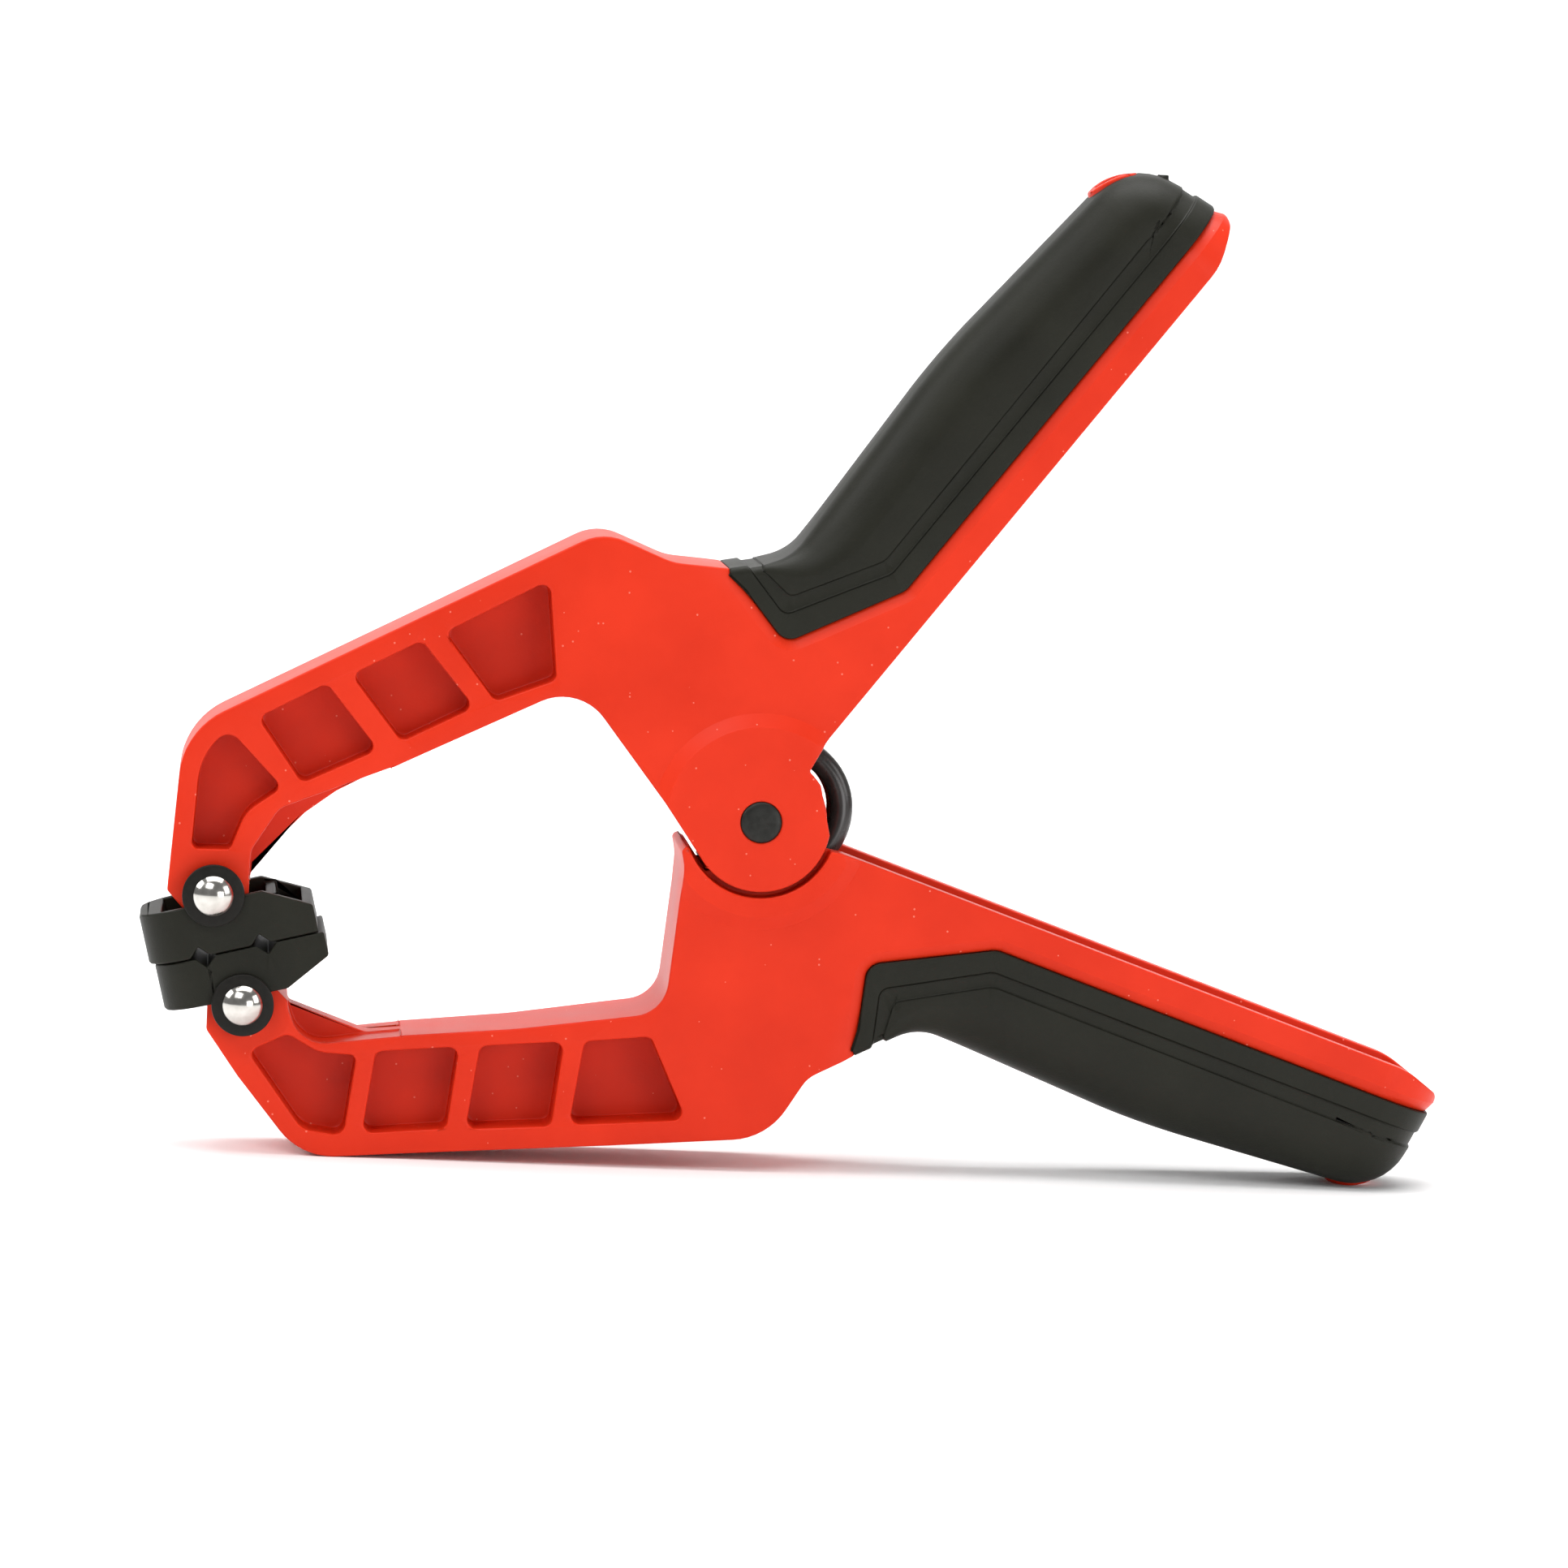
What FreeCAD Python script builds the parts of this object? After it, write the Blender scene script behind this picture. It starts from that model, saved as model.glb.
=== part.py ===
import FreeCAD, Part
import Sketcher
import math
import os

# A hand-sized spring clamp. Two moulded arms turn on one steel pin, a wound spring pushes the handles
# apart, and two swivelling pads meet at the tips of the jaws.
# X runs from the jaws to the handles, Z is up, and -Y faces the viewer. Every outline is drawn about
# the pivot pin, and the clamp then stands on its lower jaw and lower handle, at z = 0.

V = FreeCAD.Vector

# Driving sizes in millimetres and degrees.
SIZES = {
    # widths, measured from the middle plane to one side
    "body_half_width": 13.0,
    "jaw_half_width": 11.0,
    "boss_height": 1.5,
    "web_half_thickness": 3.0,
    "channel_half_width": 9.0,
    "core_half_width": 11.0,
    # pivot
    "pin_radius": 3.6,
    "pin_proud": 0.3,
    "pin_chamfer": 0.4,
    "pin_running_gap": 0.05,
    "ear_radius": 12.4,
    "ear_thickness": 3.5,
    "ear_side_gap": 0.25,
    "ear_rim_gap": 1.1,
    "cheek_radius": 12.0,
    "cheek_thickness": 2.3,
    "cheek_rim_gap": 0.4,
    "boss_radius": 16.9,
    "boss_slope": 2.4,
    # spring
    "wire_diameter": 4.3,
    "coil_outer_radius": 13.0,
    "coil_pitch": 5.2,
    "coil_whole_turns": 2,
    "coil_shift_right": 4.15,
    "coil_shift_up": 1.8,
    "coil_room_gap": 0.5,
    "spring_leg_length": 52.0,
    "spring_seat_gap": 0.1,
    # handles
    "upper_handle_angle": 52.8,
    "lower_handle_angle": 18.915,
    "upper_handle_length": 135.8,
    "lower_handle_length": 133.5,
    "handle_end_round": 12.0,
    "upper_crown_height": 27.4,
    "lower_crown_height": 26.7,
    "lip_depth": 6.3,
    "channel_depth": 18.0,
    "end_wall": 4.5,
    "channel_end_round": 5.0,
    "channel_end_length": 8.0,
    "channel_end_depth": 10.0,
    "grip_setback": 0.4,
    "grip_crown_thickness": 3.2,
    "grip_round": 9.5,
    "core_round": 6.5,
    "core_end_round": 8.5,
    "hang_hole_radius": 3.0,
    "hang_ring_radius": 4.8,
    "hang_hole_lean": 27.0,
    "hang_hole_reach": 15.0,
    "hang_ring_depth": 4.7,
    # pads and their rivets
    "upper_rivet_x": -96.0,
    "upper_rivet_z": -16.55,
    "lower_rivet_x": -90.15,
    "lower_rivet_z": -35.75,
    "pad_tilt": 14.4,
    "upper_pad_height": 10.25,
    "lower_pad_height": 9.6,
    "pad_floor": 3.0,
    "pad_wall": 2.2,
    "pad_side_gap": 0.3,
    "pad_ear_radius": 5.2,
    "pad_nose_round": 7.5,
    "pad_tail_x": 16.7,
    "pad_tail_wall": 1.8,
    "pad_nose_x": -13.8,
    "pad_nose_wall_x": -9.6,
    "pad_rib_x": 9.7,
    "pad_rib_thickness": 1.8,
    "pad_rib_top": -2.5,
    "front_notch_x": -4.6,
    "back_notch_x": 6.35,
    "notch_half_width": 1.75,
    "notch_depth": 1.75,
    "rivet_radius": 2.0,
    "rivet_running_gap": 0.05,
    "rivet_head_radius": 3.5,
    "rivet_head_height": 2.0,
    "rivet_head_rim": 0.3,
    "washer_radius": 5.5,
    "washer_thickness": 1.2,
    "washer_gap": 0.15,
}

doc = FreeCAD.newDocument("spring_clamp")
sheet = doc.addObject("Spreadsheet::Sheet", "sizes")
for row, (alias, value) in enumerate(SIZES.items(), start=1):
    sheet.set("A%d" % row, alias)
    sheet.set("B%d" % row, str(value))
    sheet.setAlias("B%d" % row, alias)
# Where the pivot stands over the ground. It is set once the clamp's lowest point is known.
stand = doc.addObject("Spreadsheet::Sheet", "stand")
for cell, alias in (("B1", "pivot_x"), ("B2", "pivot_height")):
    stand.set(cell, "0")
    stand.setAlias(cell, alias)
doc.recompute()

sub_parts = []


def size(alias):
    return float(sheet.get(alias))


BOSS_HALF_WIDTH = size("body_half_width") + size("boss_height")
EAR_INNER_HALF = BOSS_HALF_WIDTH - size("ear_thickness")
CHEEK_OUTER_HALF = EAR_INNER_HALF - size("ear_side_gap")
PAD_INNER_HALF = size("jaw_half_width") + size("pad_side_gap")
PAD_HALF_WIDTH = PAD_INNER_HALF + size("pad_wall")
WASHER_INNER_HALF = PAD_HALF_WIDTH + size("washer_gap")
RIVET_HEAD_HALF = WASHER_INNER_HALF + size("washer_thickness")
FAR_AWAY = 400.0


# Sketch helpers

def new_body(name, turn=None, at=None):
    """A body whose frame stands at the pivot, or at the place that the two expressions give."""
    body = doc.addObject("PartDesign::Body", name)
    body.Label = name
    if turn is not None:
        body.Placement = FreeCAD.Placement(V(0, 0, 0), turn)
    x_rule, z_rule = at if at else ("0", "0")
    body.setExpression("Placement.Base.x", "stand.pivot_x + " + x_rule)
    body.setExpression("Placement.Base.z", "stand.pivot_height + " + z_rule)
    sub_parts.append(body)
    return body


def origin_item(body, role):
    return next(item for item in body.Origin.OriginFeatures if item.Role == role)


def new_sketch(body, name, plane="XZ_Plane", lift=None):
    """A sketch on one of the body's own planes. On XZ_Plane its normal points to -Y."""
    sketch = body.newObject("Sketcher::SketchObject", name)
    sketch.AttachmentSupport = (origin_item(body, plane), [""])
    sketch.MapMode = "FlatFace"
    if lift:
        sketch.setExpression("AttachmentOffset.Base.z", lift)
    return sketch


def rounded(corners):
    """Straight runs joined by tangent arcs: each corner is (x, y) or (x, y, radius)."""
    ends = []
    count = len(corners)
    for index, corner in enumerate(corners):
        here = V(corner[0], corner[1], 0)
        radius = corner[2] if len(corner) > 2 else 0.0
        before = V(*corners[index - 1][:2], 0)
        after = V(*corners[(index + 1) % count][:2], 0)
        back = (before - here).normalize()
        ahead = (after - here).normalize()
        half_angle = back.getAngle(ahead) / 2.0
        if radius <= 0 or half_angle > math.radians(89.5):
            ends.append((here, None, here))
            continue
        reach = radius / math.tan(half_angle)
        bisector = (back + ahead).normalize()
        middle = here + bisector * (radius / math.sin(half_angle) - radius)
        ends.append((here + back * reach, middle, here + ahead * reach))
    pieces = []
    for index, (start, middle, end) in enumerate(ends):
        if middle is not None:
            pieces.append(Part.Arc(start, middle, end))
        following = ends[(index + 1) % count][0]
        if (following - end).Length > 1e-6:
            pieces.append(Part.LineSegment(end, following))
    return pieces


def outline(body, name, *loops, plane="XZ_Plane", lift=None):
    sketch = new_sketch(body, name, plane, lift)
    for corners in loops:
        sketch.addGeometry(rounded(corners))
    return sketch


def disc(body, name, radius, lift=None, x=None, y=None):
    """A circle sketch. Its radius and centre are given by expressions."""
    sketch = new_sketch(body, name, lift=lift)
    sketch.addGeometry(Part.Circle(V(0, 0, 0), V(0, 0, 1), 1.0))
    sketch.addConstraint(Sketcher.Constraint("Radius", 0, 1.0))
    sketch.setExpression("Constraints[0]", radius)
    if x is None:
        sketch.addConstraint(Sketcher.Constraint("Coincident", 0, 3, -1, 1))
    else:
        sketch.addConstraint(Sketcher.Constraint("DistanceX", -1, 1, 0, 3, 1.0))
        sketch.addConstraint(Sketcher.Constraint("DistanceY", -1, 1, 0, 3, 1.0))
        sketch.setExpression("Constraints[1]", x)
        sketch.setExpression("Constraints[2]", y)
    return sketch


# Feature helpers

def pad(body, sketch, name, length):
    """Adds the sketch's shape, half of the length to each side of the sketch."""
    feature = body.newObject("PartDesign::Pad", name)
    feature.Profile = sketch
    feature.SideType = "Symmetric"
    feature.setExpression("Length", length)
    doc.recompute()
    return feature


def cut_feature(body, kind, sketch, name, set_up):
    """A cut whose volume is compared with the body's volume before it."""
    before = body.Shape.Volume
    feature = body.newObject("PartDesign::" + kind, name)
    feature.Profile = sketch
    set_up(feature)
    doc.recompute()
    if not body.Shape.Volume < before - 1e-3:
        raise RuntimeError(name + " cuts nothing")
    return feature


def slot_through(body, sketch, name, length):
    """Cuts half of the length to each side of the sketch."""
    def set_up(feature):
        feature.SideType = "Symmetric"
        feature.setExpression("Length", length)
    return cut_feature(body, "Pocket", sketch, name, set_up)


def outward_both_sides(body, sketch, name):
    """Cuts from a lifted sketch out towards -Y, and its mirror image towards +Y."""
    def set_up(feature):
        feature.Type = "ThroughAll"
        feature.Reversed = True
    feature = cut_feature(body, "Pocket", sketch, name, set_up)
    mirror = body.newObject("PartDesign::Mirrored", name + "_far_side")
    mirror.Originals = [feature]
    mirror.MirrorPlane = (origin_item(body, "XZ_Plane"), [""])
    body.Tip = mirror
    doc.recompute()
    return mirror


def round_edges(body, name, radius, wanted):
    """Rounds the edges of the body's present shape for which wanted(edge) is true."""
    base = body.Tip
    names = ["Edge%d" % (i + 1) for i, edge in enumerate(base.Shape.Edges) if wanted(edge)]
    if not names:
        raise RuntimeError(name + " finds no edges")
    feature = body.newObject("PartDesign::Fillet", name)
    feature.Base = (base, names)
    feature.setExpression("Radius", radius)
    doc.recompute()
    return feature


# Handle frame: t runs along the handle from the pivot, n points outwards from its inner edge.

def upper_handle(t, n):
    angle = math.radians(size("upper_handle_angle"))
    return (t * math.cos(angle) - n * math.sin(angle), t * math.sin(angle) + n * math.cos(angle))


def lower_handle(t, n):
    angle = math.radians(size("lower_handle_angle"))
    return (t * math.cos(angle) - n * math.sin(angle), -t * math.sin(angle) - n * math.cos(angle))


def placed(handle, corners):
    return [handle(c[0], c[1]) + tuple(c[2:]) for c in corners]


def handle_size(handle, alias):
    """A size that the two handles have each for itself."""
    return size(("upper_" if handle is upper_handle else "lower_") + alias)


def grip_tip(handle):
    return handle_size(handle, "handle_length") - size("grip_setback")


def grip_crown(handle):
    """The outer line of the grip, from the shoulder on the arm to the tip of the handle."""
    high = handle_size(handle, "crown_height")
    tip = grip_tip(handle)
    return [(31.0, 33.0), (39.6, high - 2.0, 12.0), (84.0, high, 150.0), (tip - 1.9, high - 2.8, 13.0),
            (tip, size("lip_depth"))]


def grip_border(handle):
    """The line between the grip and the bare side of the arm, from the tip to the shoulder."""
    return [(handle_size(handle, "handle_length"), size("lip_depth"), 1.5), (47.8, size("lip_depth"), 4.0),
            (27.2, 16.9, 3.0), (31.0, 33.0)]


def lip_edge(handle, start):
    """The inner edge of the handle, from its tip, where it bends outwards, back to the hub."""
    length = handle_size(handle, "handle_length")
    return [(length, 2.8, 2.5), (length - 8.5, 0.0, 14.0), (start, 0.0, 1.0)]


def inset(chain, distance):
    """An open chain moved inwards, to the side of smaller n."""
    normals = []
    for first, second in zip(chain, chain[1:]):
        along = V(second[0] - first[0], second[1] - first[1], 0).normalize()
        normals.append(V(along.y, -along.x, 0))
    moved = []
    for index, corner in enumerate(chain):
        before = normals[max(index - 1, 0)]
        after = normals[min(index, len(normals) - 1)]
        middle = (before + after).normalize()
        step = middle * (distance / middle.dot(after))
        radius = max(corner[2] - distance, 1.0) if len(corner) > 2 else 0.0
        moved.append((corner[0] + step.x, corner[1] + step.y, radius))
    return moved


def handle_core_line(handle):
    return [(24.0, 3.0), (20.0, 24.0)] + inset(grip_crown(handle), size("grip_crown_thickness")) + [
        (grip_tip(handle) - size("grip_crown_thickness"), 3.0)]


# Steps that both arms share

def add_core(body, handle):
    """The narrow channel section that the grip is moulded over, with its outer edges rounded."""
    core = outline(body, "core_outline", placed(handle, handle_core_line(handle)))
    pad(body, core, "core", "2 * sizes.core_half_width")
    half = size("core_half_width")
    round_edges(body, "core_rounding", "sizes.core_round",
                lambda edge: at_crown(handle, edge, half, 36.0) and lowest_depth(handle, edge) > 8.0)
    end = grip_tip(handle) - size("grip_crown_thickness")
    round_end_in_plan(body, handle, "core_end_rounding", end, half, size("core_end_round"))


def at_crown(handle, edge, half, least_reach):
    """Whether an edge lies along the crown, on one of the two sides."""
    if edge.Length < 0.5 or any(abs(abs(v.Y) - half) > 1e-3 for v in edge.Vertexes):
        return False
    if any(handle_reach(handle, v.X, v.Z) < least_reach for v in edge.Vertexes):
        return False
    return max(handle_depth(handle, v.X, v.Z) for v in edge.Vertexes) > 12.0


def lowest_depth(handle, edge):
    return min(handle_depth(handle, v.X, v.Z) for v in edge.Vertexes)


def handle_reach(handle, x, z):
    unit = V(*handle(1.0, 0.0), 0)
    return unit.dot(V(x, z, 0))


def handle_depth(handle, x, z):
    unit = V(*handle(0.0, 1.0), 0)
    return unit.dot(V(x, z, 0))


def relieve_sides(body):
    """Lowers both sides to the body's width, and leaves the raised boss round the pivot."""
    inner = size("boss_radius")
    outer = inner + size("boss_slope")
    low = size("body_half_width")
    high = BOSS_HALF_WIDTH
    near = [(inner, -high - 1), (inner, -high), (outer, -low), (FAR_AWAY, -low), (FAR_AWAY, -high - 1)]
    far = [(x, -y) for x, y in near]
    sketch = outline(body, "boss_section", near, far, plane="XY_Plane")

    def set_up(feature):
        feature.ReferenceAxis = (sketch, ["V_Axis"])
        feature.Angle = 360.0
    cut_feature(body, "Groove", sketch, "boss_relief", set_up)


def taper_jaw(body):
    """Narrows the jaw from the body's width to the width that the pads straddle."""
    wide = size("body_half_width")
    narrow = size("jaw_half_width")
    side = [(-24.0, wide), (-60.0, narrow, 30.0), (-FAR_AWAY, narrow), (-FAR_AWAY, wide + 5),
            (-24.0, wide + 5)]
    other = [(c[0], -c[1]) + tuple(c[2:]) for c in side]
    sketch = outline(body, "jaw_plan", side, other, plane="XY_Plane")
    slot_through(body, sketch, "jaw_taper", str(FAR_AWAY))


def hollow_handle(body, handle, name, width):
    """The channel in the inner edge of the handle, up to where its round end starts."""
    depth = size("channel_depth")
    end = channel_end(handle)
    back = end - size("channel_end_length")
    line = [(1.0, -3.0), (1.0, 9.0), (14.0, depth, 6.0), (end - 17.5, depth, 8.0),
            (back, size("channel_end_depth")), (back, -3.0)]
    slot_through(body, outline(body, name + "_outline", placed(handle, line)), name, width)


def channel_end(handle):
    return handle_size(handle, "handle_length") - size("end_wall")


def hollow_handle_end(body, handle):
    """The last part of the channel: shallower, and round as seen along n."""
    half = size("channel_half_width")
    end = channel_end(handle)
    back = end - size("channel_end_length")
    corners = [(back - 0.1, half), (end, half, size("channel_end_round")),
               (end, -half, size("channel_end_round")), (back - 0.1, -half)]
    sketch = plan_outline(body, handle, "channel_end_plan", corners)
    slot_through(body, sketch, "channel_end", "2 * sizes.channel_end_depth")


def bore(body, name, radius, x=None, z=None):
    sketch = disc(body, name + "_circle", radius, x=x, y=z)
    slot_through(body, sketch, name, str(FAR_AWAY))


def cut_side_pockets(body, *loops):
    sketch = outline(body, "pocket_outlines", *loops, lift="sizes.web_half_thickness")
    outward_both_sides(body, sketch, "side_pockets")


def trim_rims(body, corners):
    """Hollows the rims at the inner corner of the tip, and leaves the web there straight."""
    sketch = outline(body, "rim_trim_outline", corners, lift="sizes.web_half_thickness")
    outward_both_sides(body, sketch, "rim_trim")


def hang_hole_circle(body, handle, name, radius):
    """A circle on the grip's surface, at the round end of the crown, square to the surface."""
    before, corner, after = [V(c[0], c[1], 0) for c in grip_crown(handle)[-3:]]
    round_end = grip_crown(handle)[-2][2]
    back = (before - corner).normalize()
    ahead = (after - corner).normalize()
    reach = round_end / math.sin(back.getAngle(ahead) / 2.0)
    centre = corner + (back + ahead).normalize() * reach
    lean = math.radians(size("hang_hole_lean"))
    axis = V(math.sin(lean), math.cos(lean), 0)
    spot = centre + axis * round_end
    x, z = handle(spot.x, spot.y)
    axis_x, axis_z = handle(axis.x, axis.y)
    sketch = new_sketch(body, name, plane="XY_Plane")
    sketch.AttachmentOffset = FreeCAD.Placement(
        V(x, 0, z), FreeCAD.Rotation(V(0, 0, 1), V(axis_x, 0, axis_z)))
    sketch.addGeometry(Part.Circle(V(0, 0, 0), V(0, 0, 1), 1.0))
    sketch.addConstraint(Sketcher.Constraint("Radius", 0, 1.0))
    sketch.setExpression("Constraints[0]", radius)
    sketch.addConstraint(Sketcher.Constraint("Coincident", 0, 3, -1, 1))
    return sketch


def add_hang_hole(body, handle):
    """The lined hole at the tip: a ring that reaches up through the grip, and the hole in it."""
    ring = hang_hole_circle(body, handle, "hang_ring_circle", "sizes.hang_ring_radius")
    feature = body.newObject("PartDesign::Pad", "hang_ring")
    feature.Profile = ring
    feature.SideType = "Symmetric"
    feature.setExpression("Length", "2 * sizes.hang_ring_depth")
    doc.recompute()
    tip = grip_tip(handle)
    outside = [grip_crown(handle)[-3][:2]] + grip_crown(handle)[-2:] + [
        (tip + 10, size("lip_depth")), (tip + 10, 45.0), (84.0, 45.0)]
    trim = outline(body, "crown_line", placed(handle, outside))
    slot_through(body, trim, "ring_trim", "2 * sizes.hang_ring_radius + 1")
    hole = hang_hole_circle(body, handle, "hang_hole_circle", "sizes.hang_hole_radius")
    slot_through(body, hole, "hang_hole", "2 * sizes.hang_hole_reach")


def plan_outline(body, handle, name, *loops):
    """A sketch as seen along n: its x runs along the handle and its y across it."""
    sketch = outline(body, name, *loops, plane="XY_Plane")
    along_x, along_z = handle(1.0, 0.0)
    turn = math.degrees(math.atan2(along_z, along_x))
    sketch.AttachmentOffset = FreeCAD.Placement(V(0, 0, 0), FreeCAD.Rotation(V(0, 1, 0), -turn))
    return sketch


def round_end_in_plan(body, handle, name, tip, half, radius):
    """Rounds the two corners of an end as seen along n."""
    corner = [(tip - radius, half), (tip, half, radius), (tip, half - radius), (tip + 5, half - radius),
              (tip + 5, half + 5), (tip - radius, half + 5)]
    other = [(c[0], -c[1]) + tuple(c[2:]) for c in corner]
    slot_through(body, plan_outline(body, handle, name + "_plan", corner, other), name, "100")


# Arms

def upper_arm():
    body = new_body("upper_arm")
    handle = upper_handle
    add_core(body, handle)
    lip = placed(handle, list(reversed(grip_border(handle))))
    shoulder = [(-17.5, 45.3, 10.0)]
    jaw = [(-104.2, -16.2, 0.8), (-102.3, 12.2, 14.0), (-30.0, 50.3, 9.0)]
    inner_edge = placed(handle, lip_edge(handle, 17.9))
    hub = [(9.3, 11.4, 1.0), (0.0, -6.0), (-9.2, -8.4), (-17.0, 2.6, 1.0)]
    throat = [(-33.1, 23.05, 9.0), (-66.0, 6.6, 60.0), (-75.0, 1.7), (-80.4, -2.4, 4.0),
              (-89.8, -12.4, 1.0), (-89.8, -22.3, 6.2), (-98.6, -22.3, 2.0)]
    sketch = outline(body, "arm_outline", jaw + shoulder + lip + inner_edge + hub + throat)
    pad(body, sketch, "arm", str(2 * BOSS_HALF_WIDTH))
    pad(body, disc(body, "ear_circle", "sizes.ear_radius"), "ear", str(2 * BOSS_HALF_WIDTH))
    ear_flat = [(9.3, 11.4), (12.6, -3.4), (16.0, -3.4), (16.0, 11.4)]
    slot_through(body, outline(body, "ear_flat_outline", ear_flat), "ear_flat", str(FAR_AWAY))
    relieve_sides(body)
    taper_jaw(body)
    cut_side_pockets(
        body,
        [(-94.5, 12.8, 2.5), (-84.6, 2.7, 1.5), (-90.9, -1.9, 7.0), (-93.4, -8.6, 1.2),
         (-100.2, -8.7, 1.2), (-99.2, 7.5, 12.0)],
        [(-89.4, 14.9, 1.6), (-77.5, 21.4, 1.6), (-68.0, 10.0, 1.6), (-81.2, 3.6, 1.6)],
        [(-73.3, 23.1, 1.6), (-61.1, 29.6, 1.6), (-51.4, 18.2, 1.6), (-64.0, 11.6, 1.6)],
        [(-57.2, 31.2, 1.6), (-39.0, 41.3, 1.6), (-37.1, 23.7, 1.6), (-47.8, 19.4, 1.6)])
    trim_rims(body, [(-65.5, 7.0), (-85.0, -1.0, 4.0), (-89.7, -8.6, 3.0), (-89.9, -14.0), (-66.0, 0.0)])
    hollow_handle(body, handle, "channel", "2 * sizes.channel_half_width")
    hollow_handle_end(body, handle)
    room = "sizes.coil_outer_radius + sizes.coil_room_gap"
    shift = math.hypot(size("coil_shift_right"), size("coil_shift_up"))
    for name, degrees in (("coil_room_open", 83.0), ("coil_room_middle", 53.0), ("coil_room_rest", 23.0)):
        x = str(shift * math.cos(math.radians(degrees)))
        z = str(shift * math.sin(math.radians(degrees)))
        sketch = disc(body, name + "_circle", room, x=x, y=z)
        slot_through(body, sketch, name, "2 * sizes.channel_half_width")
    sketch = disc(body, "cheek_room_circle", "sizes.cheek_radius + sizes.cheek_rim_gap")
    slot_through(body, sketch, "cheek_room", str(2 * EAR_INNER_HALF))
    bore(body, "pin_bore", "sizes.pin_radius + sizes.pin_running_gap")
    bore(body, "rivet_bore", "sizes.rivet_radius", "sizes.upper_rivet_x", "sizes.upper_rivet_z")
    add_hang_hole(body, handle)
    round_handle_tip(body, handle)
    return body


def round_handle_tip(body, handle):
    tip = handle_size(handle, "handle_length")
    round_end_in_plan(body, handle, "tip_rounding", tip, size("body_half_width"), size("handle_end_round"))


def lower_arm():
    body = new_body("lower_arm")
    handle = lower_handle
    add_core(body, handle)
    jaw = [(-96.3, -29.6, 6.0), (-96.4, -40.7, 1.5), (-90.6, -48.8, 40.0), (-78.8, -63.1, 12.0)]
    shoulder = [(3.6, -56.5, 12.0), (10.4, -45.5, 6.0)]
    lip = placed(handle, list(reversed(grip_border(handle))))
    inner_edge = placed(handle, lip_edge(handle, 15.7))
    hub = [(9.0, -4.0), (-9.4, -9.0), (-15.0, -0.9, 1.0)]
    throat = [(-13.2, -8.5, 10.0), (-15.6, -34.6, 6.5), (-42.0, -38.6, 60.0), (-68.0, -41.2, 4.0),
              (-82.2, -36.2, 1.2), (-82.2, -35.1, 0.8), (-87.8, -29.6, 5.0)]
    sketch = outline(body, "arm_outline", jaw + shoulder + lip + inner_edge + hub + throat)
    pad(body, sketch, "arm", str(2 * BOSS_HALF_WIDTH))
    relieve_sides(body)
    taper_jaw(body)
    cut_side_pockets(
        body,
        [(-88.9, -44.4, 1.5), (-82.0, -41.0, 2.0), (-76.5, -44.1, 7.0), (-69.7, -44.4, 1.2),
         (-71.5, -58.9, 2.0), (-78.9, -57.9, 4.0)],
        [(-66.3, -43.6, 1.6), (-51.6, -42.2, 1.6), (-53.3, -56.9, 1.6), (-68.2, -58.3, 1.6)],
        [(-47.9, -41.9, 1.6), (-33.1, -40.5, 1.6), (-34.8, -55.7, 1.6), (-49.9, -56.8, 1.6)],
        [(-29.5, -40.3, 1.6), (-17.8, -39.0, 1.6), (-10.9, -53.7, 1.6), (-31.6, -55.3, 1.6)])
    trim_rims(body, [(-62.0, -40.7), (-79.6, -43.0, 6.0), (-82.1, -36.5), (-82.4, -31.0), (-62.0, -36.0)])
    hollow_handle(body, handle, "channel", "2 * sizes.channel_half_width")
    hollow_handle_end(body, handle)
    sketch = disc(body, "ear_pocket_circle", "sizes.ear_radius + sizes.ear_rim_gap",
                  lift=str(CHEEK_OUTER_HALF))
    outward_both_sides(body, sketch, "ear_pocket")
    sketch = disc(body, "cheek_circle", "sizes.cheek_radius")
    pad(body, sketch, "cheeks", str(2 * CHEEK_OUTER_HALF))
    between_cheeks = str(2 * (CHEEK_OUTER_HALF - size("cheek_thickness")))
    sketch = disc(body, "coil_room_circle", "sizes.coil_outer_radius + sizes.coil_room_gap",
                  x="sizes.coil_shift_right", y="sizes.coil_shift_up")
    slot_through(body, sketch, "coil_room", between_cheeks)
    hollow_handle(body, handle, "leg_room", between_cheeks)
    bore(body, "pin_bore", "sizes.pin_radius")
    bore(body, "rivet_bore", "sizes.rivet_radius", "sizes.lower_rivet_x", "sizes.lower_rivet_z")
    add_hang_hole(body, handle)
    round_handle_tip(body, handle)
    return body


def grip(name, handle):
    """The rubber moulded over the outside of a handle: flush at its border, domed at its crown."""
    core = doc.addObject("PartDesign::Body", name + "_core")
    add_core(core, handle)
    body = new_body(name)
    border = grip_border(handle)[1:-1]
    sketch = outline(body, "grip_outline", placed(handle, grip_crown(handle) + border))
    pad(body, sketch, "grip", "2 * sizes.body_half_width")
    half = size("body_half_width")
    round_edges(body, "grip_rounding", "sizes.grip_round", lambda edge: at_crown(handle, edge, half, 33.0))
    round_end_in_plan(body, handle, "tip_rounding", grip_tip(handle), half, size("handle_end_round"))
    room = body.newObject("PartDesign::Boolean", "core_space")
    room.Type = "Cut"
    room.setObjects([core])
    doc.recompute()
    ring = hang_hole_circle(body, handle, "hang_ring_circle", "sizes.hang_ring_radius")
    slot_through(body, ring, "hang_ring_space", "2 * sizes.hang_hole_reach")
    return body


# Pivot and spring

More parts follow.
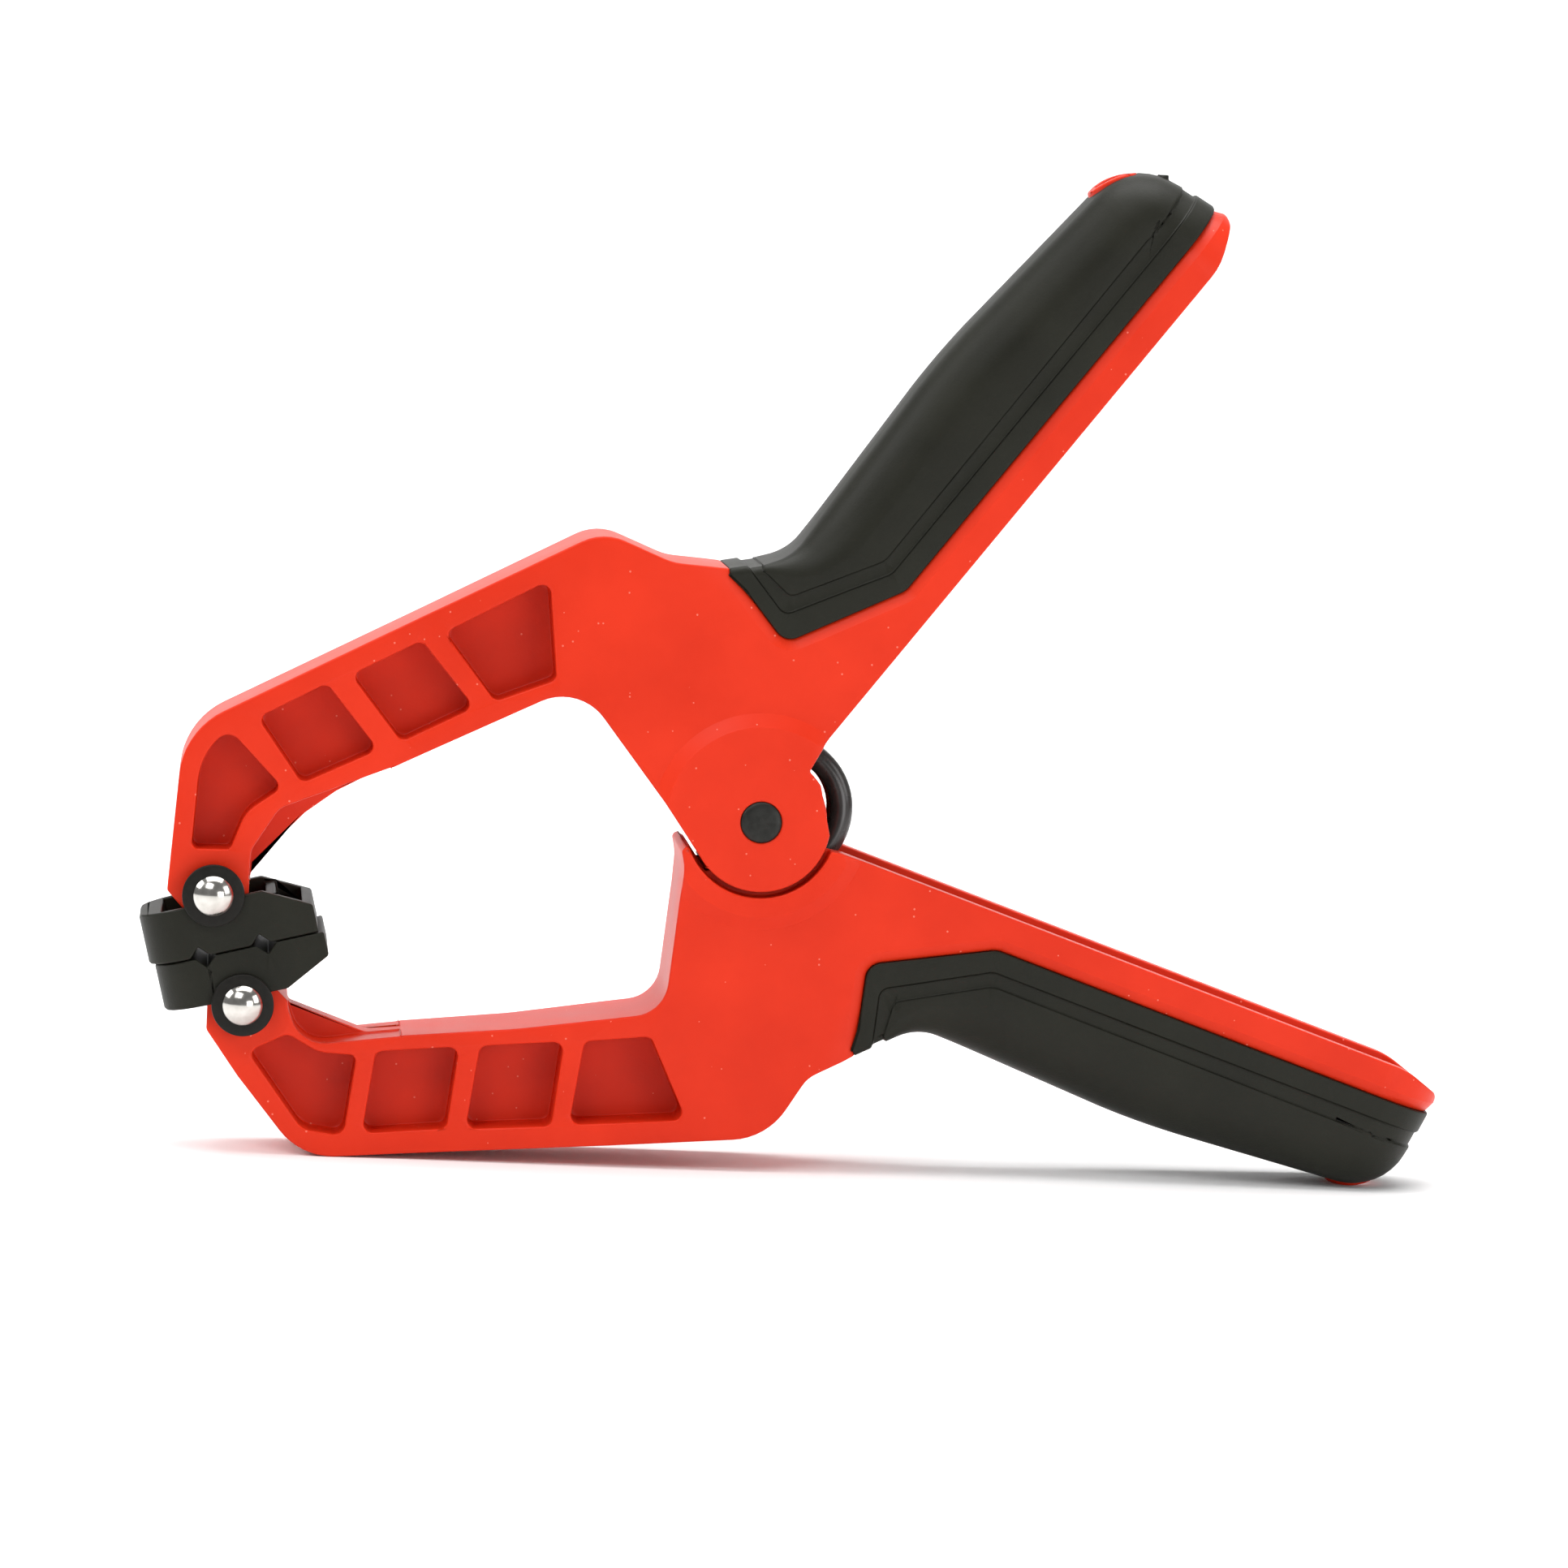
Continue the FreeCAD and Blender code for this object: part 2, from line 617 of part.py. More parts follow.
def pivot_pin():
    body = new_body("pivot_pin")
    pin = pad(body, disc(body, "pin_circle", "sizes.pin_radius"), "pin",
              "%s + 2 * sizes.pin_proud" % (2 * BOSS_HALF_WIDTH))
    rims = ["Edge%d" % (i + 1) for i, edge in enumerate(pin.Shape.Edges) if len(edge.Vertexes) == 1]
    ends = body.newObject("PartDesign::Chamfer", "pin_ends")
    ends.Base = (pin, rims)
    ends.setExpression("Size", "sizes.pin_chamfer")
    return body


def leg_splay(handle):
    """The angle between a spring leg and its handle that lays the leg's end on the channel floor."""
    mean = size("coil_outer_radius") - size("wire_diameter") / 2.0
    leg = size("spring_leg_length")
    floor = size("channel_depth") - size("wire_diameter") / 2.0 - size("spring_seat_gap")
    centre = handle_depth(handle, size("coil_shift_right"), size("coil_shift_up"))
    return math.atan2(leg, mean) - math.acos((floor - centre) / math.hypot(leg, mean))


def biarc(start, start_way, end, end_way):
    """Two tangent arcs from one point and direction to another."""
    chord = end - start
    ways = start_way + end_way
    bend = 2.0 * (start_way.dot(end_way) - 1.0)
    across = -2.0 * chord.dot(ways)
    root = math.sqrt(across * across - 4.0 * bend * chord.dot(chord))
    reach = (-across - root) / (2.0 * bend) if abs(bend) > 1e-9 else chord.dot(chord) / -across
    reach = abs(reach)
    first_knee = start + start_way * reach
    second_knee = end - end_way * reach
    joint = (first_knee + second_knee) * 0.5
    return [arc_through(start, first_knee, joint), arc_through(joint, second_knee, end)]


def arc_through(start, knee, end):
    """The arc that leaves start and reaches end along the two sides that meet at knee."""
    weight = (end - start).Length / (2.0 * (knee - start).Length)
    middle = (start + knee * (2.0 * weight) + end) * (1.0 / (2.0 + 2.0 * weight))
    return Part.Arc(start, middle, end).toShape()


def spring_line():
    """The spring's centre line: a straight leg, the turns of the coil, and the other leg."""
    mean = size("coil_outer_radius") - size("wire_diameter") / 2.0
    first = math.radians(90.0 + size("upper_handle_angle")) + leg_splay(upper_handle)
    last = math.radians(270.0 - size("lower_handle_angle")) - leg_splay(lower_handle)
    last += 2.0 * math.pi * size("coil_whole_turns")
    rise = size("coil_pitch") / (2.0 * math.pi)
    steps = math.ceil((last - first) / (math.pi / 2.0))
    points = []
    ways = []
    for index in range(steps + 1):
        angle = first + (last - first) * index / steps
        points.append(V(size("coil_shift_right") + mean * math.cos(angle),
                        rise * (angle - (first + last) / 2.0),
                        size("coil_shift_up") + mean * math.sin(angle)))
        lead = 0.0 if index in (0, steps) else rise
        ways.append(V(-mean * math.sin(angle), lead, mean * math.cos(angle)).normalize())
    leg = size("spring_leg_length")
    edges = [Part.LineSegment(points[0] - ways[0] * leg, points[0]).toShape()]
    for index in range(steps):
        edges += biarc(points[index], ways[index], points[index + 1], ways[index + 1])
    edges.append(Part.LineSegment(points[-1], points[-1] + ways[-1] * leg).toShape())
    return Part.Wire(edges)


def least_gap(line):
    """The least distance between the wire's surface and itself, measured on points a turn apart."""
    turn = 2.0 * math.pi * size("coil_outer_radius")
    spacing = 0.5
    points = line.discretize(Distance=spacing)
    skip = int(turn / 2.0 / spacing)
    gap = min((points[j] - points[i]).Length
              for i in range(0, len(points), 2) for j in range(i + skip, len(points), 2))
    return gap - size("wire_diameter")


def torsion_spring():
    line = spring_line()
    radius = size("wire_diameter") / 2.0
    start = line.Edges[0].valueAt(line.Edges[0].FirstParameter)
    way = line.Edges[0].tangentAt(line.Edges[0].FirstParameter)
    section = Part.Wire([Part.Circle(start, way, radius).toShape()])
    solid = line.makePipeShell([section], True, False)
    expected = math.pi * radius * radius * line.Length
    print("spring: least gap %.2f mm, volume %.0f of %.0f mm3" % (least_gap(line), solid.Volume, expected))
    spring = doc.addObject("Part::Feature", "torsion_spring")
    spring.Label = "torsion_spring"
    spring.Shape = solid
    spring.setExpression("Placement.Base.x", "stand.pivot_x")
    spring.setExpression("Placement.Base.z", "stand.pivot_height")
    sub_parts.append(spring)
    return spring


# Pads, rivets and washers at the tips of the jaws

def rivet_place(which):
    return ("sizes.%s_rivet_x" % which, "sizes.%s_rivet_z" % which)


def round_nose(body, front):
    """Rounds the pad's front as seen from above."""
    radius = size("pad_nose_round")
    half = PAD_HALF_WIDTH
    corner = [(front + radius, half), (front, half, radius), (front, half - radius),
              (front - 3, half - radius), (front - 3, half + 3), (front + radius, half + 3)]
    other = [(c[0], -c[1]) + tuple(c[2:]) for c in corner]
    slot_through(body, outline(body, "nose_plan", corner, other, plane="XY_Plane"), "nose_rounding", "50")


def jaw_pad(which, turn):
    """A rubber-faced shoe: an open box whose two walls straddle the jaw, with a round nose."""
    body = new_body(which + "_pad", turn, rivet_place(which))
    face = -size(which + "_pad_height")
    floor = face + size("pad_floor")
    front = size("pad_nose_x")
    back = size("pad_tail_x")
    side = [(front, face, 0.6), (front, -1.2, 0.8), (8.4, -1.1, 1.5), (back, -5.3, 0.8), (back, face, 0.4)]
    pad(body, outline(body, "pad_side", side), "block", str(2 * PAD_HALF_WIDTH))
    pad(body, disc(body, "ear_circle", "sizes.pad_ear_radius"), "ears", str(2 * PAD_HALF_WIDTH))
    round_nose(body, front)
    rib = size("pad_rib_thickness")
    rib_start = size("pad_rib_x") - rib / 2.0
    nose_wall = size("pad_nose_wall_x")
    tip_room = [(nose_wall, floor, 1.0), (nose_wall, 8.0), (rib_start, 8.0), (rib_start, floor, 0.8)]
    tail_wall = back - size("pad_tail_wall")
    tail_room = [(rib_start + rib, floor, 0.6), (rib_start + rib, 8.0), (tail_wall, 8.0),
                 (tail_wall, floor, 0.6)]
    slot_through(body, outline(body, "rooms", tip_room, tail_room), "hollow", str(2 * PAD_INNER_HALF))
    rib_top = [(rib_start - 1.0, size("pad_rib_top")), (rib_start - 1.0, 8.0), (rib_start + rib + 1.0, 8.0),
               (rib_start + rib + 1.0, size("pad_rib_top"))]
    slot_through(body, outline(body, "rib_top", rib_top), "rib_lowering", str(2 * PAD_INNER_HALF))
    half = size("notch_half_width")
    for name, x in (("front_notch", size("front_notch_x")), ("back_notch", size("back_notch_x"))):
        vee = [(x - half, face), (x, face + size("notch_depth"), 0.2), (x + half, face), (x, face - 1.0)]
        slot_through(body, outline(body, name + "_outline", vee), name, str(FAR_AWAY))
    bore(body, "rivet_bore", "sizes.rivet_radius + sizes.rivet_running_gap")
    return body


def rivet(which):
    """A domed rivet, headed alike at both ends."""
    body = new_body(which + "_rivet", at=rivet_place(which))
    shank = size("rivet_radius")
    head = size("rivet_head_radius")
    base = RIVET_HEAD_HALF
    rim = base + size("rivet_head_rim")
    top = base + size("rivet_head_height")
    ball = (head ** 2 + (top - rim) ** 2) / (2.0 * (top - rim))
    half_way = math.asin(head / ball) / 2.0
    shoulder = (ball * math.sin(half_way), top - ball + ball * math.cos(half_way))
    sketch = new_sketch(body, "rivet_section", plane="XY_Plane")
    chain = [(head, rim), (head, base), (shank, base), (shank, -base), (head, -base), (head, -rim)]
    sketch.addGeometry(Part.LineSegment(V(0, -top, 0), V(0, top, 0)))
    for start, end in zip(chain, chain[1:]):
        sketch.addGeometry(Part.LineSegment(V(*start, 0), V(*end, 0)))
    for side in (1, -1):
        sketch.addGeometry(Part.Arc(V(0, side * top, 0), V(shoulder[0], side * shoulder[1], 0),
                                    V(head, side * rim, 0)))
    feature = body.newObject("PartDesign::Revolution", "rivet")
    feature.Profile = sketch
    feature.ReferenceAxis = (sketch, ["V_Axis"])
    feature.Angle = 360.0
    return body


def washer(which, side, sign):
    body = new_body("%s_rivet_%s_washer" % (which, side), at=rivet_place(which))
    lift = "%s * (%s + sizes.washer_thickness / 2)" % (sign, WASHER_INNER_HALF)
    sketch = disc(body, "washer_rings", "sizes.washer_radius", lift=lift)
    sketch.addGeometry(Part.Circle(V(0, 0, 0), V(0, 0, 1), 1.0))
    sketch.addConstraint(Sketcher.Constraint("Radius", 1, 1.0))
    sketch.setExpression("Constraints[2]", "sizes.rivet_radius + sizes.rivet_running_gap")
    sketch.addConstraint(Sketcher.Constraint("Coincident", 1, 3, -1, 1))
    pad(body, sketch, "washer", "sizes.washer_thickness")
    return body


# The clamp, and its stand on the ground

def stand_on_ground():
    """Puts the lowest point at z = 0 and the middle of the length at x = 0."""
    boxes = [part.Shape.optimalBoundingBox(False) for part in sub_parts]
    low = min(box.ZMin for box in boxes)
    middle = (min(box.XMin for box in boxes) + max(box.XMax for box in boxes)) / 2.0
    stand.set("B1", str(round(-middle, 3)))
    stand.set("B2", str(round(-low, 3)))
    doc.recompute()


upper_arm()
lower_arm()
grip("upper_grip", upper_handle)
grip("lower_grip", lower_handle)
pivot_pin()
torsion_spring()
level_turn = FreeCAD.Rotation(V(0, 1, 0), -size("pad_tilt"))
jaw_pad("upper", level_turn)
jaw_pad("lower", level_turn.multiply(FreeCAD.Rotation(V(1, 0, 0), 180)))
for which in ("upper", "lower"):
    rivet(which)
    washer(which, "near", 1)
    washer(which, "far", -1)
doc.recompute()
stand_on_ground()

for item in doc.Objects:
    if "Invalid" in item.State or "Error" in item.State:
        raise RuntimeError(item.Label + " failed")
for part in sub_parts:
    if part.Shape.isNull() or not part.Shape.isValid() or len(part.Shape.Solids) != 1:
        raise RuntimeError(part.Label + " isn't one valid solid")

os.makedirs("parts", exist_ok=True)
for part in sub_parts:
    part.Shape.exportStep("parts/%s.step" % part.Label)
print("pivot at x %s, z %s" % (stand.get("pivot_x"), stand.get("pivot_height")))
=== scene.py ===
import bmesh
import bpy
import math
from mathutils import Matrix, Vector
from mathutils.bvhtree import BVHTree


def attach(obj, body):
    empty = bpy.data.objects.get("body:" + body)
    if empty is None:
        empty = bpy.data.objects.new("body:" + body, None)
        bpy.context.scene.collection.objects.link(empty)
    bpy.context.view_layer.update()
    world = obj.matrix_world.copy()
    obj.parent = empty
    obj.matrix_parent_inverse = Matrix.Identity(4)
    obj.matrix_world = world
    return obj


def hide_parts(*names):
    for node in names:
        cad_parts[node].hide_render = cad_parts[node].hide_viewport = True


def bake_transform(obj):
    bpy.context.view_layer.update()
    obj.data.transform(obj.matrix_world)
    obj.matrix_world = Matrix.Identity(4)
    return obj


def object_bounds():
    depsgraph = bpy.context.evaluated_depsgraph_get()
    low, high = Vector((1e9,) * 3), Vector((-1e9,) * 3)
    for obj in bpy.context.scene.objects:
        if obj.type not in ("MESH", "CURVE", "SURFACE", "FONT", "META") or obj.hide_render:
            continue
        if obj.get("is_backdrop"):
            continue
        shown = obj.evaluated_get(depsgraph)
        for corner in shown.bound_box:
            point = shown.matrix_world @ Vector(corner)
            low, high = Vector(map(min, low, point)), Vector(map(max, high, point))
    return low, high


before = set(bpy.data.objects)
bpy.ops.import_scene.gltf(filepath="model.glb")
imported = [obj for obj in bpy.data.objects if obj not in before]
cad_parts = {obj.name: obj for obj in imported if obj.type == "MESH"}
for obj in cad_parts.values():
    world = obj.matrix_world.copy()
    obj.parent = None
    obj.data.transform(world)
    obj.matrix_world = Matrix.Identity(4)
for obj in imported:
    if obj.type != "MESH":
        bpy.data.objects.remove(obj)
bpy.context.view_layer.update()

# The two arms. Each is one moulding of red glass-filled nylon: jaw, pivot hub and handle. The mould
# leaves a fine satin skin, softly broken edges and a few pale specks of glass near the surface.

PIVOT = Vector((-0.008019, 0.0, 0.062672))
ARM_EDGE_ROUND = 0.00035


def graph(name):
    """A new material with its node tree and its Principled shader."""
    material = bpy.data.materials.new(name)
    material.use_nodes = True
    tree = material.node_tree
    return material, tree, tree.nodes["Principled BSDF"]


def add_node(tree, kind, inputs=None, **settings):
    node = tree.nodes.new(kind)
    for key, value in settings.items():
        setattr(node, key, value)
    for key, value in (inputs or {}).items():
        if isinstance(value, bpy.types.NodeSocket):
            tree.links.new(value, node.inputs[key])
        else:
            node.inputs[key].default_value = value
    return node


def ramp(tree, source, stops):
    """A colour ramp read from a factor. stops are (position, colour)."""
    node = add_node(tree, "ShaderNodeValToRGB", {"Fac": source})
    band = node.color_ramp
    while len(band.elements) < len(stops):
        band.elements.new(0.5)
    for element, (place, colour) in zip(band.elements, stops):
        element.position = place
        element.color = (*colour, 1.0)
    return node.outputs["Color"]


def noise(tree, place, scale, detail):
    """The factor of a noise over the piece's own place."""
    inputs = {"Vector": place, "Scale": scale, "Detail": detail}
    return add_node(tree, "ShaderNodeTexNoise", inputs).outputs["Fac"]


def calculated(tree, operation, first, second):
    return add_node(tree, "ShaderNodeMath", {0: first, 1: second}, operation=operation).outputs["Value"]


def roughened(tree, shader, factor, least, most):
    """Roughness that follows a factor between two values."""
    rough = add_node(tree, "ShaderNodeMapRange", {"Value": factor, "To Min": least, "To Max": most})
    tree.links.new(rough.outputs["Result"], shader.inputs["Roughness"])


def skinned(tree, shader, height, strength, depth):
    """A fine relief of the surface, as a bump."""
    skin = add_node(tree, "ShaderNodeBump", {"Height": height, "Strength": strength, "Distance": depth})
    tree.links.new(skin.outputs["Normal"], shader.inputs["Normal"])


SPECK_SIZE = 0.20
SPECK_SHARE = 0.03
SPECK_STRENGTH = 0.35
MIX_FACTOR, MIX_FIRST, MIX_SECOND, MIX_RESULT = 0, 6, 7, 2


def red_nylon():
    material, tree, shader = graph("red_nylon")
    place = add_node(tree, "ShaderNodeTexCoord").outputs["Object"]
    cloud = noise(tree, place, 55.0, 4.0)
    tone = ramp(tree, cloud, [(0.3, (0.575, 0.0215, 0.0038)), (0.7, (0.655, 0.0285, 0.0062))])
    glass = add_node(tree, "ShaderNodeTexVoronoi", {"Vector": place, "Scale": 1150.0, "Randomness": 1.0})
    chance = add_node(tree, "ShaderNodeSeparateColor", {"Color": glass.outputs["Color"]}).outputs["Red"]
    near = calculated(tree, "LESS_THAN", glass.outputs["Distance"], SPECK_SIZE)
    few = calculated(tree, "LESS_THAN", chance, SPECK_SHARE)
    faint = calculated(tree, "MULTIPLY", calculated(tree, "MULTIPLY", near, few), SPECK_STRENGTH)
    colours = {MIX_FACTOR: faint, MIX_FIRST: tone, MIX_SECOND: (0.95, 0.42, 0.32, 1.0)}
    speckled = add_node(tree, "ShaderNodeMix", colours, data_type="RGBA")
    tree.links.new(speckled.outputs[MIX_RESULT], shader.inputs["Base Color"])
    roughened(tree, shader, cloud, 0.34, 0.46)
    skinned(tree, shader, noise(tree, place, 2600.0, 2.0), 0.05, 0.0004)
    shader.inputs["Specular IOR Level"].default_value = 0.17
    shader.inputs["Subsurface Weight"].default_value = 0.05
    shader.inputs["Subsurface Radius"].default_value = (0.004, 0.0012, 0.0006)
    shader.inputs["Subsurface Scale"].default_value = 0.5
    return material


def placed(name, data):
    """A new object in the scene."""
    item = bpy.data.objects.new(name, data)
    bpy.context.scene.collection.objects.link(item)
    return item


SMOOTH_BELOW = math.radians(32.0)


def finished(mesh, name, material):
    """A shown object for a finished mesh, shaded smooth but for its sharp edges."""
    if not mesh.has_custom_normals:
        for face in mesh.polygons:
            face.use_smooth = True
        mesh.set_sharp_from_angle(angle=SMOOTH_BELOW)
    mesh.materials.clear()
    mesh.materials.append(material)
    return placed(name, mesh)


def as_plain_mesh(holder):
    """The mesh of an object with its modifiers applied."""
    return bpy.data.meshes.new_from_object(holder.evaluated_get(bpy.context.evaluated_depsgraph_get()))


CRISP_FROM = math.radians(18.0)
ROUNDED_FROM = math.radians(35.0)


def broken_edges(bm, name, width):
    """The mesh with every sharp edge rounded a little and the shallow ones kept crisp, as a plain mesh."""
    for edge in bm.edges:
        edge.smooth = not CRISP_FROM < edge.calc_face_angle(0.0) <= ROUNDED_FROM
    rough_mesh = bpy.data.meshes.new(name)
    bm.to_mesh(rough_mesh)
    surface = BVHTree.FromBMesh(bm)
    bm.free()
    for face in rough_mesh.polygons:
        face.use_smooth = True
    holder = placed(name, rough_mesh)
    rounding = holder.modifiers.new("edges", "BEVEL")
    rounding.width = width
    rounding.segments = 2
    rounding.limit_method = "ANGLE"
    rounding.angle_limit = ROUNDED_FROM
    rounding.use_clamp_overlap = False
    holder.data = as_plain_mesh(holder)
    holder.modifiers.clear()
    rounded = bmesh.new()
    rounded.from_mesh(holder.data)
    for vertex in rounded.verts:
        on_surface, _, _, distance = surface.find_nearest(vertex.co)
        if distance > width:
            vertex.co = on_surface
    bmesh.ops.triangulate(rounded, faces=[face for face in rounded.faces if len(face.verts) > 4])
    rounded.to_mesh(holder.data)
    rounded.free()
    shading = holder.modifiers.new("flat_faces_stay_flat", "WEIGHTED_NORMAL")
    shading.mode = "FACE_AREA"
    shading.weight = 50
    shading.keep_sharp = True
    mesh = as_plain_mesh(holder)
    mesh.name = name
    bpy.data.objects.remove(holder)
    return mesh


MERGED_WITHIN = 2e-6
FLAT_WITHIN = math.radians(0.8)
TINY_EDGE = 2e-5


def merged_solid(node):
    """The CAD piece as one closed mesh with plain flat faces."""
    bm = bmesh.new()
    bm.from_mesh(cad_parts[node].data)
    bmesh.ops.remove_doubles(bm, verts=bm.verts, dist=MERGED_WITHIN)
    return with_flat_faces(bm)


HANDLE_TURN = {"upper": math.radians(52.8), "lower": math.radians(18.915)}
HANDLE_SIDE = {"upper": 1.0, "lower": -1.0}
HANDLE_LENGTH = {"upper": 0.1358, "lower": 0.1335}
HALF_WIDTH = 0.0130
TIP_PLAN_ROUND = 0.0120
LIP = 0.0063
RED_BORDER = [(0.0310, 0.0330), (0.0272, 0.0169, 0.003), (0.0478, LIP, 0.004)]


def along_handle(which, t, n):
    """A point t along the handle from the pivot and n outwards from its inner edge."""
    turn = HANDLE_TURN[which]
    side = HANDLE_SIDE[which]
    x = t * math.cos(turn) - n * math.sin(turn)
    z = t * math.sin(turn) + n * math.cos(turn)
    return PIVOT + Vector((x, 0.0, side * z))


def turned_by(spot, angle):
    """A point of the side view turned about the origin."""
    return Vector((spot.x * math.cos(angle) - spot.y * math.sin(angle),
                   spot.x * math.sin(angle) + spot.y * math.cos(angle)))


def rounded_line(corners, steps=8):
    """An open line of corners (t, n, radius) with arcs at the inner corners."""
    points = [Vector(corners[0][:2])]
    for before, corner, after in zip(corners, corners[1:], corners[2:]):
        here = Vector(corner[:2])
        if len(corner) < 3:
            points.append(here)
            continue
        back = (Vector(before[:2]) - here).normalized()
        ahead = (Vector(after[:2]) - here).normalized()
        half = back.angle(ahead) / 2.0
        centre = here + (back + ahead).normalized() * (corner[2] / math.sin(half))
        start = here + back * (corner[2] / math.tan(half)) - centre
        end = here + ahead * (corner[2] / math.tan(half)) - centre
        sweep = math.atan2(start.x * end.y - start.y * end.x, start.dot(end))
        points += [centre + turned_by(start, sweep * step / steps) for step in range(steps + 1)]
    points.append(Vector(corners[-1][:2]))
    return points


def combined(first, second, operation, least=0.95):
    """One closed bmesh joined with, or cut by, another.

    A result that keeps less than the least share of the first one's volume is refused. Then a second
    solver is tried, and if its result is refused too, the first form stays as it was.
    """
    whole = first.copy()
    holders = []
    for bm in (first, second):
        bmesh.ops.triangulate(bm, faces=bm.faces)
        mesh = bpy.data.meshes.new("for_cutting")
        bm.to_mesh(mesh)
        bm.free()
        holders.append(placed("for_cutting", mesh))
    cut = holders[0].modifiers.new("cut", "BOOLEAN")
    cut.operation = operation
    cut.object = holders[1]
    kept = whole
    for solver in ("EXACT", "MANIFOLD"):
        cut.solver = solver
        result = bmesh.new()
        result.from_mesh(as_plain_mesh(holders[0]))
        bmesh.ops.remove_doubles(result, verts=result.verts, dist=1e-6)
        bmesh.ops.dissolve_degenerate(result, edges=result.edges, dist=1e-7)
        if result.calc_volume() > least * whole.calc_volume():
            kept = result
            break
    for item in holders:
        bpy.data.objects.remove(item)
    return kept


def with_flat_faces(bm):
    """The same form with the triangles of each flat area joined and its tiniest edges closed.

    The flaps and bare edges that this can leave behind are taken away.
    """
    bmesh.ops.dissolve_limit(bm, angle_limit=FLAT_WITHIN, verts=bm.verts, edges=bm.edges)
    bmesh.ops.dissolve_degenerate(bm, edges=bm.edges, dist=TINY_EDGE)
    flaps = True
    while flaps:
        flaps = [face for face in bm.faces if sum(len(edge.link_faces) == 1 for edge in face.edges) > 1]
        bmesh.ops.delete(bm, geom=flaps, context="FACES_ONLY")
    bmesh.ops.delete(bm, geom=[edge for edge in bm.edges if not edge.link_faces], context="EDGES")
    return bm


def swept(stations):
    """A closed bar through a row of equal polygons."""
    bm = bmesh.new()
    rings = [[bm.verts.new(p) for p in station] for station in stations]
    for first, second in zip(rings, rings[1:]):
        for k in range(len(first)):
            m = (k + 1) % len(first)
            bm.faces.new((first[k], first[m], second[m], second[k]))
    bm.faces.new(rings[0])
    bm.faces.new(list(reversed(rings[-1])))
    bmesh.ops.recalc_face_normals(bm, faces=bm.faces)
    return bm


LEDGE_SECTION = ((0.0021, 0.00003), (-0.0006, -0.0012), (-0.0006, 0.0009), (0.0021, 0.0009))
TIP_STEPS = 15


def ledge_cutter(which):
    """The bar that slopes the arm's side inwards along the rubber's border, round the tip too.

    LEDGE_SECTION holds the bar's corners: the reach away from the rubber and the rise out of the side.
    """
    length = HANDLE_LENGTH[which]
    side = rounded_line([(0.0322, 0.0380)] + RED_BORDER + [(length - TIP_PLAN_ROUND, LIP)])
    route = []
    for index, spot in enumerate(side):
        along = (side[min(index + 1, len(side) - 1)] - side[max(index - 1, 0)]).normalized()
        route.append((Vector((spot.x, -HALF_WIDTH, spot.y)), Vector((0.0, -1.0, 0.0)),
                      Vector((along.y, 0.0, -along.x))))
    middle = Vector((length - TIP_PLAN_ROUND, TIP_PLAN_ROUND - HALF_WIDTH, LIP))
    for step in range(1, TIP_STEPS + 1):
        angle = math.radians(90.0 / TIP_STEPS * step)
        out = Vector((math.sin(angle), -math.cos(angle), 0.0))
        route.append((middle + out * TIP_PLAN_ROUND, out, Vector((0.0, 0.0, -1.0))))
    mirrored = [(Vector((p.x, -p.y, p.z)), Vector((w.x, -w.y, w.z)), d) for p, w, d in reversed(route)]
    stations = []
    for place, out, away in route + mirrored:
        station = []
        for reach, rise in LEDGE_SECTION:
            spot = place + away * reach + out * rise
            station.append(along_handle(which, spot.x, spot.z) + Vector((0.0, spot.y, 0.0)))
        stations.append(station)
    return swept(stations)


red = red_nylon()
for which in ("upper", "lower"):
    node = which + "_arm"
    moulding = combined(merged_solid(node), ledge_cutter(which), "DIFFERENCE")
    arm_mesh = broken_edges(with_flat_faces(moulding), node + "_mesh", ARM_EDGE_ROUND)
    arm = finished(arm_mesh, which + "_arm_moulding", red)
    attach(arm, which + "_half")
    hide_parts(node)

# The two grips. Black rubber is moulded over the outside of each handle: a flush flange at the red
# border, a thin step inside it, and a raised pad with a round crown.

def even_line(points, spacing):
    """The same line with points no further apart than the spacing."""
    finer = []
    for first, second in zip(points, points[1:]):
        parts = max(1, math.ceil((second - first).length / spacing))
        finer += [first.lerp(second, k / parts) for k in range(parts)]
    return finer + [points[-1]]


def room_below(spot, inward, border):
    """How far it is from a crown point to the border line, along the inward direction."""
    nearest = 1.0
    for first, second in zip(border, border[1:]):
        span = second - first
        across = inward.x * span.y - inward.y * span.x
        if abs(across) < 1e-9:
            continue
        gap = first - spot
        reach = (gap.x * span.y - gap.y * span.x) / across
        share = (gap.x * inward.y - gap.y * inward.x) / across
        if reach > 1e-6 and -1e-6 <= share <= 1.0 + 1e-6:
            nearest = min(nearest, reach)
    return nearest


CROWN_SPACING = 0.0011
BORDER_SPACING = 0.006
COLLAR_PLACE = 0.0360
COLLAR_FALL = 0.0012
ROOM_SHARE = 0.8
SMOOTHING_PASSES = 30
CROWN_STEPS = 12
CROWN_STRIPS = 10
CROWN_BULGE = 0.0003
SIDE_ROUND = 0.88
TIP_SIDE_ROUND = 0.22
TIP_ZONE = 0.012
TIP_FADE = 0.010
BORDER_GAP = 0.0005


def section_falls(top, inward, border, fall):
    """How deep the section falls away from each crown point: little at the collar, then up to the fall."""
    falls = [min(fall, ROOM_SHARE * room_below(spot, way, border),
                 COLLAR_FALL + max(0.0, spot.x - COLLAR_PLACE)) for spot, way in zip(top, inward)]
    falls[0] = min(falls[0], COLLAR_FALL)
    for _ in range(SMOOTHING_PASSES):
        middle = [(a + b + c) / 3.0 for a, b, c in zip(falls, falls[1:], falls[2:])]
        falls = [falls[0]] + middle + [falls[-1]]
    return falls


